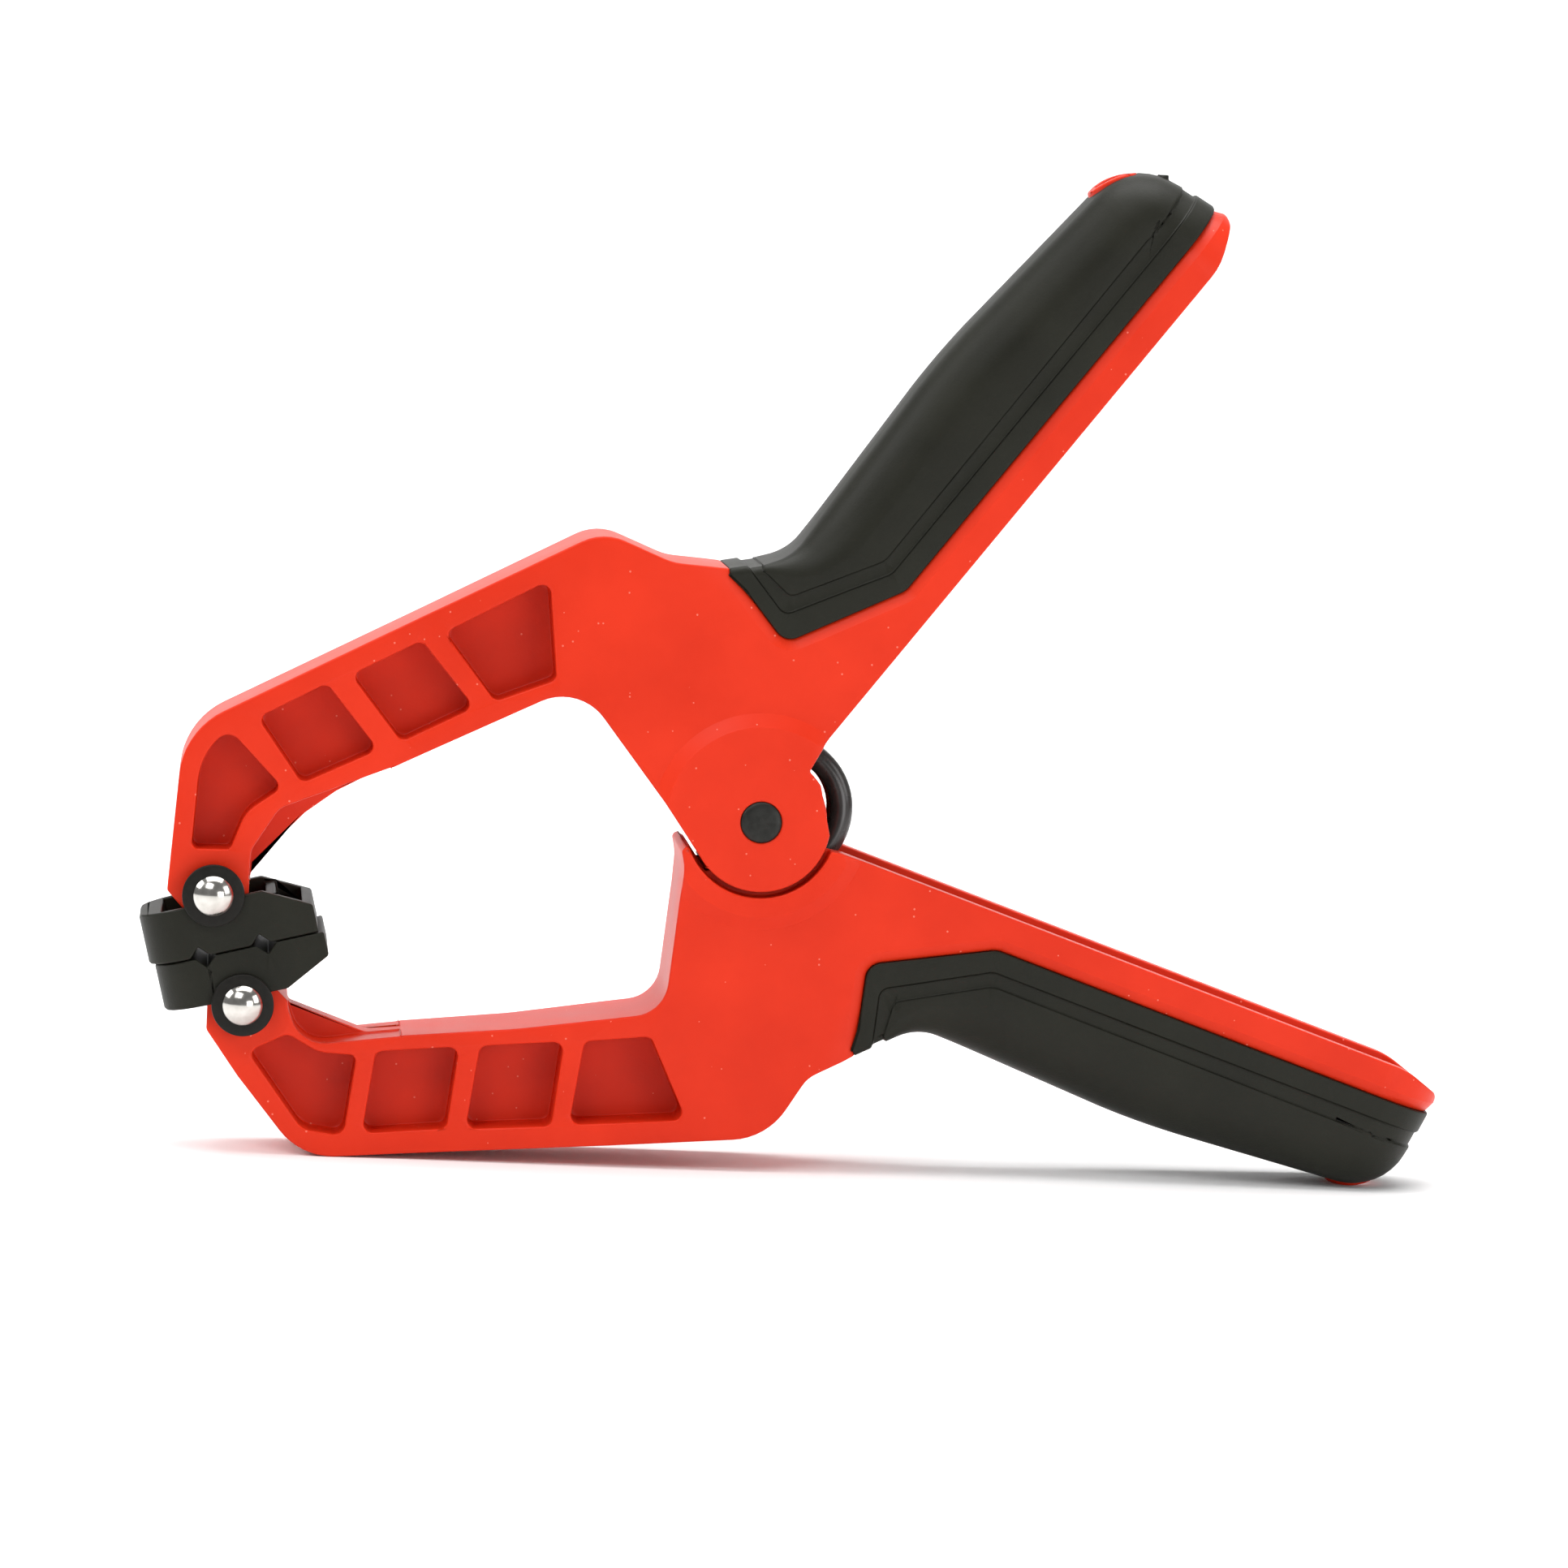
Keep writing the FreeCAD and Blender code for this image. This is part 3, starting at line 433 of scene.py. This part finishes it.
def grip_layer(which, crown, border, half_width, fall, end_turn=0.006):
    """One closed form of a grip. Its section is flat at the sides and falls away to a round crown.

    Over the last end_turn of height the section turns until it lies level with the handle.
    """
    bm = bmesh.new()
    top = even_line(crown, CROWN_SPACING)
    inward = []
    for index in range(len(top)):
        ahead = top[min(index + 1, len(top) - 1)] - top[max(index - 1, 0)]
        above_end = min(1.0, (top[index].y - top[-1].y) / end_turn)
        across = Vector((ahead.y, -ahead.x)).normalized()
        inward.append(Vector((-1.0, 0.0)).lerp(across, above_end).normalized())
    falls = section_falls(top, inward, border, fall)
    before_tip = top[-1].x - falls[-1] - BORDER_GAP
    edge = [p for p in even_line(border, BORDER_SPACING)[1:-1] if p.x < before_tip]
    rows = []
    for row in range(2 * CROWN_STEPS + CROWN_STRIPS + 1):
        ring = []
        for spot, way, drop in zip(top, inward, falls):
            tip_share = min(1.0, max(0.0, (spot.x - crown[-1].x + TIP_ZONE) / TIP_FADE))
            side = drop * (SIDE_ROUND + TIP_SIDE_ROUND * tip_share)
            flat = half_width - side
            if row < CROWN_STEPS:
                angle = math.radians(90.0) * (1.0 - row / CROWN_STEPS)
                y = -flat - side * math.sin(angle)
                sink = drop * (1.0 - math.cos(angle))
            elif row <= CROWN_STEPS + CROWN_STRIPS:
                share = 2.0 * (row - CROWN_STEPS) / CROWN_STRIPS - 1.0
                y = flat * share
                sink = -CROWN_BULGE * (1.0 - share * share) * drop / fall
            else:
                angle = math.radians(90.0) * (row - CROWN_STEPS - CROWN_STRIPS) / CROWN_STEPS
                y = flat + side * math.sin(angle)
                sink = drop * (1.0 - math.cos(angle))
            moved = spot + way * sink
            ring.append(bm.verts.new(along_handle(which, moved.x, moved.y) + Vector((0.0, y, 0.0))))
        rows.append(ring)
    near = [bm.verts.new(along_handle(which, p.x, p.y) + Vector((0.0, -half_width, 0.0))) for p in edge]
    far = [bm.verts.new(along_handle(which, p.x, p.y) + Vector((0.0, half_width, 0.0))) for p in edge]
    for lower, upper in zip(rows, rows[1:]):
        for k in range(len(top) - 1):
            bm.faces.new((lower[k], lower[k + 1], upper[k + 1], upper[k]))
    bm.faces.new(rows[0] + near)
    bm.faces.new(list(reversed(rows[-1] + far)))
    for k in range(len(edge) - 1):
        bm.faces.new((near[k], near[k + 1], far[k + 1], far[k]))
    bm.faces.new([row[-1] for row in rows] + [far[0], near[0]])
    bm.faces.new([row[0] for row in reversed(rows)] + [near[-1], far[-1]])
    bmesh.ops.recalc_face_normals(bm, faces=bm.faces)
    return bm


def moved_in(chain, distance):
    """An open chain of corners moved to the side of smaller n."""
    ways = []
    for first, second in zip(chain, chain[1:]):
        along = (Vector(second[:2]) - Vector(first[:2])).normalized()
        ways.append(Vector((along.y, -along.x)))
    moved = []
    for index, corner in enumerate(chain):
        before = ways[max(index - 1, 0)]
        after = ways[min(index, len(ways) - 1)]
        middle = (before + after).normalized()
        step = middle * (distance / middle.dot(after))
        radius = (max(corner[2] - distance, 0.001),) if len(corner) > 2 else ()
        moved.append((corner[0] + step.x, corner[1] + step.y) + radius)
    return moved


CUT_REACH = 0.03


def prism(which, line):
    """A straight bar through the whole grip, on a closed line in the side view."""
    places = [along_handle(which, p.x, p.y) for p in line]
    return swept([[p + Vector((0.0, y, 0.0)) for p in places] for y in (-CUT_REACH, CUT_REACH)])


def full_turn(count):
    """The angles of the corners of a circle."""
    return [2.0 * math.pi * k / count for k in range(count)]


def hang_ring_space(which):
    """The round bar that the ring at the handle's tip takes up in the rubber."""
    way = (along_handle(which, math.sin(RING_LEAN), math.cos(RING_LEAN)) - PIVOT).normalized()
    first = way.orthogonal().normalized()
    second = way.cross(first)
    circle = [(first * math.cos(a) + second * math.sin(a)) * RING_RADIUS for a in full_turn(48)]
    return swept([[RING_PLACE[which] + way * reach + spoke for spoke in circle]
                  for reach in (-RING_REACH, RING_REACH)])


def moulding_nub(root):
    """The stub that the mould's filling gate left standing on the rubber."""
    return swept([[root + Vector((radius * math.cos(a), radius * math.sin(a), rise)) for a in full_turn(14)]
                  for rise, radius in ((-0.0008, 0.0007), (0.0009, 0.0010))])


def black_rubber():
    material, tree, shader = graph("black_rubber")
    place = add_node(tree, "ShaderNodeTexCoord").outputs["Object"]
    cloud = noise(tree, place, 70.0, 5.0)
    tone = ramp(tree, cloud, [(0.3, (0.0078, 0.0080, 0.0045)), (0.7, (0.0118, 0.0120, 0.0072))])
    tree.links.new(tone, shader.inputs["Base Color"])
    roughened(tree, shader, cloud, 0.42, 0.54)
    skinned(tree, shader, noise(tree, place, 3200.0, 3.0), 0.12, 0.0004)
    shader.inputs["Specular IOR Level"].default_value = 0.19
    return material


GRIP_EDGE_ROUND = 0.0003
TIP_INSET = 0.0004
CROWN = {"upper": 0.0274, "lower": 0.0267}
STEP_DEPTH = 0.0005
RUBBER_THICKNESS = 0.0037
RING_PLACE = {"upper": Vector((0.05326, 0.0, 0.17230)), "lower": Vector((0.10210, 0.0, 0.00691))}
RING_LEAN = math.radians(27.0)
RING_RADIUS = 0.0048
RING_REACH = 0.02
NUB_PLACE = (0.1336, 0.0163)

rubber = black_rubber()
for which in ("upper", "lower"):
    high = CROWN[which]
    tip = HANDLE_LENGTH[which] - TIP_INSET
    full = [(0.0310, 0.0330), (0.0396, high - 0.0022, 0.012), (0.0840, high - 0.0004, 0.15),
            (tip - 0.0020, high - 0.0042, 0.0125), (tip, LIP)]
    foot = [(tip, LIP)] + RED_BORDER[::-1]
    groove = [(tip + 0.002, 0.0102), (0.0486, 0.0102, 0.003), (0.0309, 0.0202, 0.002),
              (0.0335, 0.0310), (0.0360, 0.0420), (tip + 0.002, 0.0420)]
    whole_flange = grip_layer(which, rounded_line(full), rounded_line(foot),
                              half_width=0.01290, fall=0.0100)
    flange = combined(whole_flange, prism(which, rounded_line(groove)), "DIFFERENCE", least=0.05)

    low = moved_in(full, STEP_DEPTH)
    low_end = (tip - 0.0005, LIP + 0.0003)
    low_foot = [low_end, (0.0479, LIP + 0.0003, 0.004), (0.0275, 0.0170, 0.003), low[0]]
    base = grip_layer(which, rounded_line(low[:-1] + [low_end]), rounded_line(low_foot),
                      half_width=0.01270, fall=0.0098)

    raised_end = (tip - 0.0010, 0.0130)
    raised_crown = [(0.0352, 0.0287), (0.0401, high - 0.0021, 0.010), (0.0840, high, 0.15),
                    (tip - 0.0033, high - 0.0038, 0.0111), raised_end]
    raised_foot = [raised_end, (0.0495, 0.0125, 0.004), (0.0338, 0.0215, 0.002), (0.0352, 0.0287)]
    raised = grip_layer(which, rounded_line(raised_crown), rounded_line(raised_foot),
                        half_width=0.0130, fall=0.0096, end_turn=0.0025)

    skin = combined(combined(base, flange, "UNION"), raised, "UNION")
    if which == "upper":
        skin = combined(skin, moulding_nub(along_handle(which, *NUB_PLACE)), "UNION")
    inner = moved_in(full, RUBBER_THICKNESS)
    inner_foot = [(inner[-1][0], 0.0030), (0.0240, 0.0030), (0.0200, 0.0240), inner[0]]
    room = grip_layer(which, rounded_line(inner), rounded_line(inner_foot), half_width=0.0105, fall=0.0065)
    shell = combined(skin, room, "DIFFERENCE", least=0.2)
    hollow = combined(shell, hang_ring_space(which), "DIFFERENCE", least=0.8)
    grip_mesh = broken_edges(with_flat_faces(hollow), which + "_grip_mesh", GRIP_EDGE_ROUND)
    grip = finished(grip_mesh, which + "_grip_rubber", rubber)
    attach(grip, which + "_half")
    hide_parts(which + "_grip")

# The two jaw pads. Each is a moulded rubber shoe with an open back, two ears on the rivet and two
# small notches across its face.

PAD_EDGE_ROUND = 0.00035

for which in ("upper", "lower"):
    node = which + "_pad"
    shoe_mesh = broken_edges(merged_solid(node), node + "_mesh", PAD_EDGE_ROUND)
    shoe = finished(shoe_mesh, which + "_pad_shoe", rubber)
    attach(shoe, which + "_shoe")
    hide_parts(node)

# The torsion spring: 4.3 mm wire, wound round the pivot and enamelled black. In the real clamp it bends
# between the two arms as they are squeezed; here it is one fixed mesh in the pose shown.

WIRE_RADIUS = 0.00215
COIL_RADIUS = 0.01085
COIL_PITCH = 0.0052
COIL_SHIFT = Vector((0.00415, 0.0, 0.0018))
COIL_STEPS = 160
LEG = 0.052
LEG_STEPS = 24
CHANNEL_FLOOR = 0.018
LEG_GAP = 0.0001


def black_enamel():
    material, tree, shader = graph("black_enamel")
    place = add_node(tree, "ShaderNodeTexCoord").outputs["Object"]
    cloud = noise(tree, place, 240.0, 4.0)
    tone = ramp(tree, cloud, [(0.3, (0.017, 0.0155, 0.0145)), (0.7, (0.034, 0.031, 0.029))])
    tree.links.new(tone, shader.inputs["Base Color"])
    roughened(tree, shader, cloud, 0.20, 0.34)
    return material


def spring_path(first, last):
    """The wire's centre line about the pivot: a leg, the turns and the other leg."""
    points = []
    middle = (first + last) / 2.0

    def on_coil(angle):
        return PIVOT + COIL_SHIFT + Vector((COIL_RADIUS * math.cos(angle),
                                            COIL_PITCH * (angle - middle) / (2.0 * math.pi),
                                            COIL_RADIUS * math.sin(angle)))

    way = Vector((-math.sin(first), 0.0, math.cos(first)))
    for step in range(LEG_STEPS, 0, -1):
        points.append(on_coil(first) - way * LEG * step / LEG_STEPS)
    for step in range(COIL_STEPS + 1):
        points.append(on_coil(first + (last - first) * step / COIL_STEPS))
    way = Vector((-math.sin(last), 0.0, math.cos(last)))
    for step in range(1, LEG_STEPS + 1):
        points.append(on_coil(last) + way * LEG * step / LEG_STEPS)
    return points


def wire_tree(material):
    """Geometry Nodes that sweep a round wire along a curve and close its ends."""
    tree = bpy.data.node_groups.new("round_wire", "GeometryNodeTree")
    tree.interface.new_socket("Path", in_out="INPUT", socket_type="NodeSocketGeometry")
    tree.interface.new_socket("Wire radius", in_out="INPUT", socket_type="NodeSocketFloat")
    tree.interface.new_socket("Wire", in_out="OUTPUT", socket_type="NodeSocketGeometry")
    start = tree.nodes.new("NodeGroupInput")
    end = tree.nodes.new("NodeGroupOutput")
    section = add_node(tree, "GeometryNodeCurvePrimitiveCircle",
                       {"Resolution": 24, "Radius": start.outputs["Wire radius"]})
    sweep = add_node(tree, "GeometryNodeCurveToMesh",
                     {"Curve": start.outputs["Path"], "Profile Curve": section.outputs["Curve"],
                      "Fill Caps": True})
    realize = add_node(tree, "GeometryNodeRealizeInstances", {"Geometry": sweep.outputs["Mesh"]})
    paint = add_node(tree, "GeometryNodeSetMaterial",
                     {"Geometry": realize.outputs["Geometry"], "Material": material})
    tree.links.new(paint.outputs["Geometry"], end.inputs["Wire"])
    return tree


def from_nodes(source, tree, values, name):
    """The plain mesh that a Geometry Nodes tree makes from a source object."""
    modifier = source.modifiers.new("nodes", "NODES")
    modifier.node_group = tree
    for item in tree.interface.items_tree:
        if item.in_out == "INPUT" and item.name in values:
            modifier[item.identifier] = values[item.name]
    mesh = as_plain_mesh(source)
    mesh.name = name
    bpy.data.objects.remove(source)
    return mesh


def leg_splay(which):
    """The angle that lays a leg's end on the floor of its handle's channel."""
    turn = HANDLE_TURN[which]
    side = HANDLE_SIDE[which]
    centre = -COIL_SHIFT.x * math.sin(turn) + side * COIL_SHIFT.z * math.cos(turn)
    resting = CHANNEL_FLOOR - WIRE_RADIUS - LEG_GAP
    return math.atan2(LEG, COIL_RADIUS) - math.acos((resting - centre) / math.hypot(LEG, COIL_RADIUS))


enamel = black_enamel()
path = bpy.data.curves.new("spring_path", "CURVE")
path.dimensions = "3D"
coil_start = math.radians(90.0) + HANDLE_TURN["upper"] + leg_splay("upper")
coil_end = math.radians(270.0 + 720.0) - HANDLE_TURN["lower"] - leg_splay("lower")
places = spring_path(coil_start, coil_end)
run = path.splines.new("POLY")
run.points.add(len(places) - 1)
for point, spot in zip(run.points, places):
    point.co = (*spot, 1.0)
route = placed("spring_route", path)
wire = from_nodes(route, wire_tree(enamel), {"Wire radius": WIRE_RADIUS}, "spring_mesh")
spring = finished(wire, "spring_wire", enamel)
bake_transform(spring)
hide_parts("torsion_spring")

# The pivot pin: blackened steel, cut off square and lightly chamfered, with faint turning rings.

PIN_RADIUS = 0.0036
PIN_HALF_LENGTH = 0.0148


def turned(name, profile, centre, segments=64):
    """A solid turned about a line along Y. profile is a list of (y, radius) from one end to the other."""
    bm = bmesh.new()
    rings = []
    for y, radius in profile:
        if radius <= 0.0:
            rings.append([bm.verts.new(centre + Vector((0.0, y, 0.0)))])
            continue
        rings.append([bm.verts.new(centre + Vector((radius * math.cos(a), y, radius * math.sin(a))))
                      for a in full_turn(segments)])
    for first, second in zip(rings, rings[1:]):
        for k in range(segments):
            m = (k + 1) % segments
            corners = dict.fromkeys([first[k % len(first)], first[m % len(first)],
                                     second[m % len(second)], second[k % len(second)]])
            if len(corners) > 2:
                bm.faces.new(list(corners))
    bmesh.ops.recalc_face_normals(bm, faces=bm.faces)
    mesh = bpy.data.meshes.new(name)
    bm.to_mesh(mesh)
    bm.free()
    return mesh


def blackened_steel():
    material, tree, shader = graph("blackened_steel")
    place = add_node(tree, "ShaderNodeTexCoord").outputs["Object"]
    centred = add_node(tree, "ShaderNodeMapping", {"Vector": place, "Location": (-PIVOT.x, 0.0, -PIVOT.z)})
    parts = add_node(tree, "ShaderNodeSeparateXYZ", {"Vector": centred.outputs[0]})
    flat = add_node(tree, "ShaderNodeCombineXYZ", {"X": parts.outputs["X"], "Z": parts.outputs["Z"]})
    away = add_node(tree, "ShaderNodeVectorMath", {0: flat.outputs[0]}, operation="LENGTH")
    rings = add_node(tree, "ShaderNodeTexNoise",
                     {"W": away.outputs["Value"], "Scale": 9000.0, "Detail": 2.0}, noise_dimensions="1D")
    cloud = noise(tree, place, 900.0, 4.0)
    tone = ramp(tree, cloud, [(0.35, (0.0105, 0.0105, 0.0088)), (0.65, (0.0180, 0.0180, 0.0158))])
    tree.links.new(tone, shader.inputs["Base Color"])
    roughened(tree, shader, rings.outputs["Fac"], 0.36, 0.52)
    skinned(tree, shader, cloud, 0.2, 0.0002)
    shader.inputs["Metallic"].default_value = 0.6
    return material


end = PIN_HALF_LENGTH
half_profile = [(end, 0.0), (end, 0.0024), (end - 0.00005, PIN_RADIUS - 0.00045),
                (end - 0.00018, PIN_RADIUS - 0.00018), (end - 0.0004, PIN_RADIUS)]
pin_profile = half_profile + [(-y, r) for y, r in reversed(half_profile)]
pin = finished(turned("pin_mesh", pin_profile, PIVOT), "pin_steel", blackened_steel())
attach(pin, "lower_half")
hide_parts("pivot_pin")

# The pad rivets and their washers. Each rivet is nickel-plated with a domed head at both ends, and a
# black plastic washer lies under each head.

RIVET_PLACE = {"upper": PIVOT + Vector((-0.0960, 0.0, -0.01655)),
               "lower": PIVOT + Vector((-0.09015, 0.0, -0.03575))}
RIVET_RADIUS = 0.0020
HEAD_RADIUS = 0.0035
HEAD_BASE = 0.01485
HEAD_RIM = 0.0003
HEAD_HEIGHT = 0.0020
HEAD_UNDERCUT = 0.0001
DOME_STEPS = 12
WASHER_MIDDLE = 0.01425


def nickel_plate():
    material, tree, shader = graph("nickel_plate")
    place = add_node(tree, "ShaderNodeTexCoord").outputs["Object"]
    cloud = noise(tree, place, 700.0, 4.0)
    tone = ramp(tree, cloud, [(0.3, (0.50, 0.485, 0.45)), (0.7, (0.62, 0.605, 0.57))])
    tree.links.new(tone, shader.inputs["Base Color"])
    roughened(tree, shader, cloud, 0.10, 0.22)
    shader.inputs["Metallic"].default_value = 1.0
    return material


def washer_plastic():
    material, tree, shader = graph("washer_plastic")
    place = add_node(tree, "ShaderNodeTexCoord").outputs["Object"]
    cloud = noise(tree, place, 800.0, 4.0)
    tone = ramp(tree, cloud, [(0.3, (0.0050, 0.0046, 0.0034)), (0.7, (0.0085, 0.0078, 0.0060))])
    tree.links.new(tone, shader.inputs["Base Color"])
    roughened(tree, shader, cloud, 0.36, 0.5)
    shader.inputs["Specular IOR Level"].default_value = 0.18
    return material


def washer_tree(material):
    """Geometry Nodes for one washer: a ring swept from a small rectangle with rounded corners."""
    tree = bpy.data.node_groups.new("washer", "GeometryNodeTree")
    tree.interface.new_socket("Place", in_out="INPUT", socket_type="NodeSocketGeometry")
    for label in ("Mean radius", "Ring width", "Thickness", "Edge round"):
        tree.interface.new_socket(label, in_out="INPUT", socket_type="NodeSocketFloat")
    tree.interface.new_socket("Washer", in_out="OUTPUT", socket_type="NodeSocketGeometry")
    start = tree.nodes.new("NodeGroupInput")
    end = tree.nodes.new("NodeGroupOutput")
    circle = add_node(tree, "GeometryNodeCurvePrimitiveCircle",
                      {"Resolution": 72, "Radius": start.outputs["Mean radius"]})
    section = add_node(tree, "GeometryNodeCurvePrimitiveQuadrilateral",
                       {"Width": start.outputs["Ring width"], "Height": start.outputs["Thickness"]})
    soft = add_node(tree, "GeometryNodeFilletCurve",
                    {"Curve": section.outputs["Curve"], "Radius": start.outputs["Edge round"], "Count": 4},
                    mode="POLY")
    sweep = add_node(tree, "GeometryNodeCurveToMesh",
                     {"Curve": circle.outputs["Curve"], "Profile Curve": soft.outputs["Curve"]})
    upright = add_node(tree, "GeometryNodeTransform",
                       {"Geometry": sweep.outputs["Mesh"], "Rotation": (math.radians(90.0), 0.0, 0.0)})
    spread = add_node(tree, "GeometryNodeInstanceOnPoints",
                      {"Points": start.outputs["Place"], "Instance": upright.outputs["Geometry"]})
    realize = add_node(tree, "GeometryNodeRealizeInstances", {"Geometry": spread.outputs["Instances"]})
    paint = add_node(tree, "GeometryNodeSetMaterial",
                     {"Geometry": realize.outputs["Geometry"], "Material": material})
    tree.links.new(paint.outputs["Geometry"], end.inputs["Washer"])
    return tree


nickel = nickel_plate()
plastic = washer_plastic()
ring = washer_tree(plastic)
ring_sizes = {"Mean radius": 0.003775, "Ring width": 0.00345, "Thickness": 0.0012, "Edge round": 0.00025}
rim = HEAD_BASE + HEAD_RIM
top = HEAD_BASE + HEAD_HEIGHT
ball = (HEAD_RADIUS ** 2 + (top - rim) ** 2) / (2.0 * (top - rim))
spread = math.asin(HEAD_RADIUS / ball)
dome = [(top - ball + ball * math.cos(spread * k / DOME_STEPS), ball * math.sin(spread * k / DOME_STEPS))
        for k in range(DOME_STEPS + 1)]
head = dome + [(rim - 0.00008, HEAD_RADIUS), (HEAD_BASE + HEAD_UNDERCUT, HEAD_RADIUS),
               (HEAD_BASE, HEAD_RADIUS - HEAD_UNDERCUT), (HEAD_BASE, RIVET_RADIUS)]
rivet_profile = head + [(-y, r) for y, r in reversed(head)]
for which in ("upper", "lower"):
    centre = RIVET_PLACE[which]
    rivet = finished(turned(which + "_rivet_mesh", rivet_profile, centre), which + "_rivet_plated", nickel)
    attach(rivet, which + "_half")
    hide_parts(which + "_rivet")
    for side, sign in (("near", -1.0), ("far", 1.0)):
        dot = bpy.data.meshes.new("washer_place")
        dot.from_pydata([centre + Vector((0.0, sign * WASHER_MIDDLE, 0.0))], [], [])
        holder = placed("washer_place", dot)
        made = from_nodes(holder, ring, ring_sizes, "%s_%s_washer_mesh" % (which, side))
        washer = finished(made, "%s_%s_washer_ring" % (which, side), plastic)
        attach(washer, which + "_half")
        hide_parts("%s_rivet_%s_washer" % (which, side))

# The stage: a pale floor that curves up into a backdrop, wide soft lamps, and the photo's camera.

SWEEP = 1.2
FLOOR_HALF_WIDTH = 4.0

sweep_arc = [(SWEEP + SWEEP * math.sin(a), SWEEP - SWEEP * math.cos(a))
             for a in (math.radians(9.0 * k) for k in range(1, 11))]
floor_mesh = bpy.data.meshes.new("floor_mesh")
bm = bmesh.new()
rows = [[bm.verts.new((x, y, z)) for x in (-FLOOR_HALF_WIDTH, FLOOR_HALF_WIDTH)]
        for y, z in [(-3.0, 0.0), (SWEEP, 0.0)] + sweep_arc + [(2.0 * SWEEP, 4.0)]]
for low, high in zip(rows, rows[1:]):
    bm.faces.new((low[0], low[1], high[1], high[0]))
bm.to_mesh(floor_mesh)
bm.free()
paper, _, paper_shader = graph("paper_floor")
paper_shader.inputs["Base Color"].default_value = (0.93, 0.93, 0.93, 1.0)
paper_shader.inputs["Roughness"].default_value = 0.75
floor = finished(floor_mesh, "paper_floor", paper)
floor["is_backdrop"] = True

world = bpy.context.scene.world or bpy.data.worlds.new("studio")
bpy.context.scene.world = world
world.use_nodes = True
background = world.node_tree.nodes["Background"]
background.inputs["Color"].default_value = (1.0, 1.0, 1.0, 1.0)
background.inputs["Strength"].default_value = 0.24


def lamp(name, place, aim, width, height, power):
    """A wide soft lamp of a power in watts that looks at a point."""
    data = bpy.data.lights.new(name, "AREA")
    data.shape = "RECTANGLE"
    data.size = width
    data.size_y = height
    data.energy = power
    light = placed(name, data)
    light.location = place
    light.rotation_euler = (Vector(aim) - Vector(place)).to_track_quat("-Z", "Y").to_euler()


lamp("top_softbox", (0.0, 0.1, 1.5), (0.0, 0.0, 0.08), 1.6, 1.2, 25.0)
lamp("front_softbox", (-0.7, -1.3, 1.5), (0.0, 0.0, 0.08), 1.0, 0.8, 13.0)
lamp("low_fill", (0.9, -1.5, 0.3), (0.0, 0.0, 0.06), 0.8, 0.6, 7.0)
lamp("left_softbox", (-1.4, -0.1, 1.0), (0.0, 0.0, 0.1), 0.7, 0.7, 10.0)
lamp("side_softbox", (1.6, -0.7, 0.8), (0.0, 0.0, 0.08), 0.8, 1.0, 8.0)
lamp("backdrop_softbox", (0.0, 0.6, 1.7), (0.0, 2.4, 0.5), 2.4, 0.5, 30.0)

PHOTO_WIDTH = 1932.0
FOCAL_PIXELS = 8538.0
CAMERA_FROM_PIVOT = Vector((-0.09626, -1.23035, 0.11589))

azimuth, elevation, roll = math.radians(-4.7), math.radians(5.1), math.radians(2.59)
back = Vector((math.sin(azimuth) * math.cos(elevation), -math.cos(azimuth) * math.cos(elevation),
               math.sin(elevation)))
level_right = (-back).cross(Vector((0.0, 0.0, 1.0))).normalized()
level_up = level_right.cross(-back)
right = level_right * math.cos(roll) + level_up * math.sin(roll)
up = level_up * math.cos(roll) - level_right * math.sin(roll)
lens = bpy.data.cameras.new("camera")
lens.sensor_width = 36.0
lens.lens = FOCAL_PIXELS / PHOTO_WIDTH * lens.sensor_width
lens.clip_end = 50.0
camera = placed("camera", lens)
facing = Matrix((right, up, back)).transposed().to_4x4()
camera.matrix_world = Matrix.Translation(PIVOT + CAMERA_FROM_PIVOT) @ facing
bpy.context.scene.camera = camera
bpy.context.scene.view_settings.view_transform = "Standard"

low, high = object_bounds()
